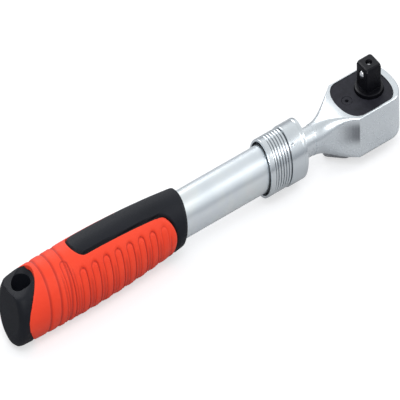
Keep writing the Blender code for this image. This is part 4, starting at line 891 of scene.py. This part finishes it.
def dimple_mesh():
    """The ball that presses a dimple into the collar's front band."""
    reach = COLLAR_FRONT_RADIUS + DIMPLE_RISE
    place = (COLLAR[1].x - DIMPLE_BEHIND_FRONT, -reach * math.cos(DIMPLE_TURN),
             AXIS_Z + reach * math.sin(DIMPLE_TURN))
    work = bmesh.new()
    bmesh.ops.create_uvsphere(work, u_segments=24, v_segments=14, radius=DIMPLE_RADIUS)
    bmesh.ops.translate(work, verts=work.verts, vec=place)
    return to_mesh(work, "dimple")


def collar_painted_shade(point):
    """Painted shade: 1 on the collar's sunk bands, whose colour is darkened as painted shade, and 0
    elsewhere.
    """
    radius = math.hypot(point.y, point.z - AXIS_Z)
    sunk = COLLAR_LAND_RADIUS + SUNK_OVER_BORE < radius < COLLAR_REAR_RADIUS - SUNK_DEPTH
    between = COLLAR[0].x + SUNK_FROM_REAR < point.x < COLLAR[1].x - SUNK_FROM_FRONT
    return float(sunk and between)


def make_collar(finishes):
    """The locking collar, with its beaded ribs as a piece of their own."""
    mesh = lathe("collar_body", soften(collar_profile(), COLLAR_EDGE, True), 120, True)
    mesh = smooth(shaped("collar_body", mesh, [("DIFFERENCE", dimple_mesh())]), 40)
    # the collar's sunk bands carry painted shade
    piece("collar_body", stored(mesh, "painted_shade", collar_painted_shade), finishes["collar"], "collar",
          ("lock_sleeve",))
    ribs = grown("collar_ribs", rib_tree(finishes["collar"]), {
        "First rib": COLLAR[0].x + RIBS_BEHIND + RIB_PITCH / 2, "Pitch": RIB_PITCH, "Ribs": COLLAR_RIBS,
        "Ring radius": COLLAR_REAR_RADIUS - RIB_RADIUS, "Bead radius": RIB_RADIUS,
        "Axis height": AXIS_Z})
    piece("collar_ribs", ribs, finishes["collar"], "collar", ())


# ======================== grip
def grip_radius(x):
    """The grip's radius along X: thickest near the butt, tapering more toward the front."""
    thickest = BUTT_X + THICKEST_FROM_BUTT
    if x > thickest:
        way = (x - thickest) / (GRIP_FRONT_X - thickest)
        return GRIP_RADIUS - FRONT_TAPER * way * way
    way = (thickest - x) / THICKEST_FROM_BUTT
    return GRIP_RADIUS - REAR_TAPER * way * way


def butt_edge(across):
    """How far the orange's rear edge lies from the butt, at a distance across from the middle."""
    lift = abs(1 - (across / BUTT_BULGE_HALF_WIDTH) ** 2) ** 0.75
    return BUTT_SIDE + (BUTT_TOP - BUTT_SIDE) * lift


def seam_distance(x, across, up):
    """Distance of a point on the grip from the seam: positive on the orange, negative on the black; and
    whether the nearest seam is the pad's or the ring's."""
    butt = x - (BUTT_X + butt_edge(across))
    pad = FAR
    if up > 0:
        pad = math.hypot(min(x - PAD_X, 0), across) - PAD_HALF_WIDTH
    ring = FAR
    if x > PANEL_X:
        ring = PANEL_ROUND - math.hypot(x - PANEL_X, max(up - PANEL_CENTRE_Z, 0))
    nearest = min(butt, pad, ring)
    return nearest, nearest < butt


def flute_cut(x, angle):
    """How deep the orange skin is cut at x and at an angle from the top: hoops near the butt, and
    upright flutes that end in a round arch under the pad."""
    radius = grip_radius(x)
    down = abs(angle) * radius
    depth = 0.0
    for index in range(HOOP_COUNT):
        centre = BUTT_X + FIRST_HOOP_FROM_BUTT + HOOP_PITCH * index + HOOP_LEAN * down
        depth = max(depth, HOOP_DEPTH * math.exp(-((x - centre) / HOOP_LINE) ** 2))
    pad_down = math.asin(min(PAD_HALF_WIDTH / radius, 1)) * radius
    fade = 1 - FLUTES_FADE * smooth_step((x - BUTT_X - FLUTES_FADE_FROM_BUTT) / FLUTES_FADE_LENGTH)
    for index in range(FLUTE_COUNT):
        centre = BUTT_X + FIRST_FLUTE_FROM_BUTT + FLUTE_PITCH * index
        below = down - pad_down - FLUTE_TOP_BELOW_PAD
        if index:
            centre += FIRST_FLUTE_GAP
        else:
            below += FIRST_FLUTE_RISE
        across = x - centre - FLUTE_LEAN * below
        away = abs(across)
        if away > FLUTE_REACH:
            continue
        distance = away
        if below < FLUTE_HALF_WIDTH:
            distance = math.hypot(across, FLUTE_HALF_WIDTH - below)
        line = math.exp(-((distance - FLUTE_HALF_WIDTH) / FLUTE_LINE) ** 2)
        share = 1.0 if across > 0 else FLUTE_REAR_SHARE
        scallop = (SCALLOP_DEPTH * smooth_step(below / SCALLOP_RISE)
                   * smooth_step((away - FLUTE_HALF_WIDTH) / SCALLOP_SIDE)
                   * smooth_step((SCALLOP_END - away) / SCALLOP_END_SOFT))
        depth = max(depth, FLUTE_DEPTH * line * share * fade, scallop)
    return depth


def skin_cut(x, angle):
    """Depth of the orange skin's pattern and of its rounded edge."""
    radius = grip_radius(x)
    distance, _ = seam_distance(x, radius * math.sin(angle), radius * math.cos(angle))
    near = 1 - min(max(distance / EDGE_REACH, 0), 1)
    fade = smooth_step((distance - PATTERN_FROM_EDGE) / PATTERN_FADE)
    return max(flute_cut(x, angle) * fade, EDGE_DROP * near * near)


def core_cut(x, angle):
    """Depth of the groove in the black along the pad and the ring, and a softer one along the butt."""
    radius = grip_radius(x)
    distance, front = seam_distance(x, radius * math.sin(angle), radius * math.cos(angle))
    if distance > SEAM_WIDTH:
        return 0.0
    depth = SEAM_DEPTH if front else SEAM_DEPTH * BUTT_SEAM_SHARE
    away = max(-distance / SEAM_WIDTH - SEAM_FLAT, 0) / (1 - SEAM_FLAT)
    return depth * (1 - smooth_step(away))


def recess_cut(x, angle):
    """The recess under the orange skin is open to the outside."""
    return -RECESS_PAST


def slope_limit(x, angle):
    """How far the butt's hollow sloping top lies from the handle's axis, at an angle from the top."""
    centre_x = HOLE_X - SLOPE_HOLLOW_RADIUS * math.sin(SLOPE_ANGLE)
    inside = SLOPE_HOLLOW_RADIUS ** 2 - (x - centre_x) ** 2
    if inside <= 0 or math.cos(angle) < 0.1:
        return FAR
    height = SLOPE_Z + SLOPE_HOLLOW_RADIUS * math.cos(SLOPE_ANGLE) - math.sqrt(inside)
    return height / math.cos(angle)


def soft_smaller(first, second, blend):
    """The smaller of two lengths, with a rounded change from one to the other."""
    mix = max(blend - abs(first - second), 0) / blend
    return min(first, second) - mix * mix * blend / 4


def end_radius(x):
    """The grip's radius with its rounded ends."""
    radius = grip_radius(x)
    for past, size in ((x - BUTT_X, GRIP_END_ROUND), (GRIP_FRONT_X - x, GRIP_FRONT_ROUND)):
        if past < size:
            radius += math.sqrt(max(size * size - (size - past) ** 2, 0)) - size
    return radius


def shell_stations(low, high, step):
    """Sections along a grip shell, closer together at both ends."""
    length = high - low
    count = round(length / step)
    ends = [length * SHELL_END * (1 - math.cos(math.pi * index / SHELL_END_STEPS)) / 2
            for index in range(SHELL_END_STEPS)]
    middle = [low + length * (SHELL_END + (1 - 2 * SHELL_END) * index / count)
              for index in range(count + 1)]
    return [low + end for end in ends] + middle + [high - end for end in ends[::-1]]


def grip_shell(name, low, high, step, turns, cut, inner):
    """The grip's outside with a cut in it, closed by an inner surface, or by its ends if inner is 0."""
    angles = [math.tau * index / turns - math.pi for index in range(turns)]
    stations = shell_stations(low, high, step)
    work = bmesh.new()
    rows = []
    for x in stations:
        row = []
        for angle in angles:
            whole = soft_smaller(end_radius(x), slope_limit(x, angle), SLOPE_EDGE)
            radius = max(whole - cut(x, angle), 0.0002)
            up = max(AXIS_Z + radius * math.cos(angle), 0.0)
            row.append(work.verts.new((x, radius * math.sin(angle), up)))
        rows.append(row)
    if inner:
        for x in (stations[-1], stations[len(stations) // 2], stations[0]):
            radius = grip_radius(x) - inner
            rows.append([work.verts.new((x, radius * math.sin(angle), AXIS_Z + radius * math.cos(angle)))
                         for angle in angles])
        rows.append(rows[0])
    else:
        work.faces.new(rows[0])
        work.faces.new(rows[-1][::-1])
    joined(work, rows)
    return to_mesh(work, name)


def panel_prism(shrink, count=64):
    """The space of the orange skin in plan: its rear edge bulges round the hang hole."""
    front, side = GRIP_FRONT_X + FAR, BUTT_X + shrink + BUTT_SIDE
    points = [(front, -FAR), (front, FAR), (side, FAR)]
    for index in range(count + 1):
        y = BUTT_BULGE_HALF_WIDTH * (1 - 2 * index / count)
        points.append((BUTT_X + shrink + butt_edge(y), y))
    return prism("panel_space", points + [(side, -FAR)], -FAR, 3 * FAR)


def pad_prism(grow):
    """The space of the black pad: round behind, straight to the front."""
    half = PAD_HALF_WIDTH + grow
    front = GRIP_FRONT_X + FAR
    rear = rounded_end(PAD_X, half, half, -1, 48, 2.0)
    return prism("pad_space", rear + [(front, half), (front, -half)], AXIS_Z, 3 * FAR)


def ring_prism(grow, count=48):
    """The space of the black front ring: it follows the orange panels' round front ends."""
    radius = PANEL_ROUND - grow
    points = []
    for index in range(count + 1):
        angle = math.pi / 2 - math.pi * index / count
        points.append((PANEL_X + radius * math.cos(angle),
                       AXIS_Z + PANEL_CENTRE_Z + radius * math.sin(angle)))
    front = GRIP_FRONT_X + FAR
    points += [(PANEL_X, -2 * FAR), (front, -2 * FAR), (front, 3 * FAR), (PANEL_X, 3 * FAR)]
    mesh = prism("ring_space", points, -FAR, FAR)
    mesh.transform(Matrix(((1, 0, 0, 0), (0, 0, -1, 0), (0, 1, 0, 0), (0, 0, 0, 1))))
    return mesh


def hole_mesh():
    """The hang hole with a narrow flared rim on the slope."""
    top = 2 * FAR
    flare = HOLE_RADIUS + top - SLOPE_Z + HOLE_RIM
    profile = [(top, 0), (top, flare), (SLOPE_Z - HOLE_RIM, HOLE_RADIUS), (-FAR, HOLE_RADIUS), (-FAR, 0)]
    return lathe("hang_hole", profile, 72, upright_at=(HOLE_X, 0))


def skin_space(name, mesh, room):
    """The share of a grip shell that the orange skin takes, with room left at its seams."""
    return shaped(name, mesh, [
        ("INTERSECT", panel_prism(room)), ("DIFFERENCE", pad_prism(room)),
        ("DIFFERENCE", ring_prism(room))], "MANIFOLD")


def with_painted_groove_shade(mesh, cut, full):
    """The mesh with its cut's depth stored as a share of the full depth, for the finish to darken as
    painted shade.
    """
    def share(point):
        return min(cut(point.x, math.atan2(point.y, point.z - AXIS_Z)) / full, 1.0)
    return stored(mesh, "hollow", share)


def make_grip(finishes):
    """The orange fluted skin and the black core with its pad, ring and butt."""
    low, high = BUTT_X + SHELL_INSET, GRIP_FRONT_X - SHELL_INSET
    shell = grip_shell("orange_skin", low, high, 0.0005, 168, skin_cut, COVER_THICKNESS - GAP)
    # painted shade in the flute and hoop grooves of the orange skin
    skin = with_painted_groove_shade(smooth(skin_space("orange_skin", shell, GAP), 50), flute_cut, FLUTE_DEPTH)
    piece("orange_skin", skin, finishes["orange_grip"], "handle", ("grip_cover",))
    band = grip_shell("recess", low, high, 0.004, 120, recess_cut, COVER_THICKNESS)
    body = grip_shell("black_core", BUTT_X, GRIP_FRONT_X, 0.0006, 144, core_cut, 0)
    bore, front = TUBE_RADIUS + GAP, GRIP_FRONT_X + FAR
    tube_space = lathe("tube_space", [(front, 0), (front, bore), (TUBE_END_X, bore), (TUBE_END_X, 0)])
    core = shaped("black_core", body, [
        ("DIFFERENCE", skin_space("recess", band, 0)), ("DIFFERENCE", tube_space),
        ("DIFFERENCE", hole_mesh())], "MANIFOLD")
    # painted shade in the seam groove of the black core
    core = with_painted_groove_shade(smooth(core, 40), core_cut, SEAM_DEPTH)
    piece("black_core", core, finishes["black_grip"], "handle", ("grip_core",))


# ======================== the rest of the pieces
def make_small_pieces(finishes):
    """Everything else keeps its CAD shape with rounded shading and its own finish."""
    plain = (                   # node, finish, body, slot, width of its rounded edges
        ("lock_bushing", "steel", "handle", "steel", TURNED_EDGE),
        ("stop_ring", "wire", "handle", "steel", FINE_EDGE),
        ("sleeve_spring", "wire", "handle", "steel", NO_EDGE),
        ("tube_plug", "rubber", "handle", "seal_rubber", SOFT_EDGE),
        ("lock_ball_top", "ball", "ball_top", "polished_steel", NO_EDGE),
        ("lock_ball_bottom", "ball", "ball_bottom", "polished_steel", NO_EDGE),
        ("socket_ball", "ball", "retaining_ball", "polished_steel", NO_EDGE),
        ("release_spring", "wire", "drive", "steel", NO_EDGE),
        ("thrust_washer", "bronze", "bar", "bronze", FINE_EDGE),
        ("pawl_pin", "steel", "bar", "steel", FINE_EDGE),
        ("tail_guide", "nylon", "bar", "nylon", SOFT_EDGE),
        ("tail_washer", "steel", "bar", "steel", FINE_EDGE),
        ("tail_screw", "steel", "bar", "steel", FINE_EDGE),
        ("pawl", "steel", "pawl", "steel", FINE_EDGE),
        ("reverse_lever", "steel", "lever", "steel", LEVER_EDGE),
        ("lever_o_ring", "rubber", "lever", "seal_rubber", NO_EDGE),
        ("detent_plunger", "ball", "lever", "steel", FINE_EDGE),
        ("detent_spring", "wire", "lever", "steel", NO_EDGE),
    )
    for node, look, body, slot, edge in plain:
        refined(node, finishes[look], body, edge)


# ======================== studio
def make_camera():
    """The camera, under an empty whose inverse carries the picture's upright stretch as a shear."""
    right = Vector((math.cos(VIEW_AZIMUTH), math.sin(VIEW_AZIMUTH), 0))
    level = math.cos(VIEW_ELEVATION)
    back = Vector((math.sin(VIEW_AZIMUTH) * level, -math.cos(VIEW_AZIMUTH) * level,
                   math.sin(VIEW_ELEVATION)))
    up = back.cross(right)
    leaning = up / STRETCH + back * math.sqrt(1 - 1 / STRETCH ** 2)
    sheared = Matrix((right, leaning, back)).transposed().to_4x4()
    sheared.translation = VIEW_CENTRE + back * VIEW_DISTANCE
    data = bpy.data.cameras.new("camera")
    data.lens = data.sensor_width * VIEW_DISTANCE / VIEW_WIDTH
    data.clip_start = CLIP_NEAR
    data.clip_end = CLIP_FAR
    camera = linked("camera", data)
    camera.parent = linked("camera_stand", None)
    camera.matrix_parent_inverse = sheared
    bpy.context.scene.camera = camera


def make_lamp(name, place, size, power):
    """A soft box aimed at the middle of the handle."""
    data = bpy.data.lights.new(name, "AREA")
    data.shape = "RECTANGLE"
    data.size, data.size_y = size
    data.energy = power
    lamp = linked(name, data)
    lamp.location = place
    lamp.rotation_euler = (LAMP_AIM - Vector(place)).to_track_quat("-Z", "Y").to_euler()


def make_surround():
    """A surround that is grey at the horizon and bright overhead, and plain white where it is seen."""
    world = bpy.data.worlds.new("surround")
    bpy.context.scene.world = world
    world.use_nodes = True
    tree = world.node_tree
    coordinates = tree.nodes.new("ShaderNodeTexCoord")
    split = fed(tree, "ShaderNodeSeparateXYZ", Vector=coordinates.outputs["Generated"])
    sky = ramp(tree, split.outputs["Z"], *SKY)
    seen = tree.nodes.new("ShaderNodeLightPath")
    colour = mixed(tree, seen.outputs["Is Camera Ray"], sky, SEEN_BACKDROP)
    tree.links.new(colour, tree.nodes["Background"].inputs["Color"])


def make_studio():
    """A pale floor, three soft boxes and an even white surround."""
    corners = [(x * FLOOR_HALF, y * FLOOR_HALF, 0) for x, y in ((-1, -1), (1, -1), (1, 1), (-1, 1))]
    mesh = bpy.data.meshes.new("floor")
    mesh.from_pydata(corners, [], [(0, 1, 2, 3)])
    material, tree, shader = finish("pale_floor", Base_Color=FLOOR_COLOUR, Roughness=0.9,
                                    Emission_Color=(1, 1, 1, 1), Specular_IOR_Level=0.1)
    seen = tree.nodes.new("ShaderNodeLightPath")
    glow = ramp(tree, seen.outputs["Is Camera Ray"], (0.0, FLOOR_GLOW_GIVEN), (1.0, FLOOR_GLOW_SEEN))
    tree.links.new(glow, shader.inputs["Emission Strength"])
    mesh.materials.append(material)
    floor = linked("floor", mesh)
    floor.location.z = -FLOOR_DROP
    make_surround()
    for lamp in LAMPS:
        make_lamp(*lamp)
    scene = bpy.context.scene
    scene.view_settings.view_transform = "Standard"
    scene.view_settings.look = "None"


def main():
    """Builds every piece, the camera and the studio."""
    finishes = make_finishes()
    make_head(finishes)
    make_plate(finishes)
    make_drive(finishes)
    make_tube(finishes)
    make_collar(finishes)
    make_grip(finishes)
    make_small_pieces(finishes)
    make_camera()
    make_studio()


main()
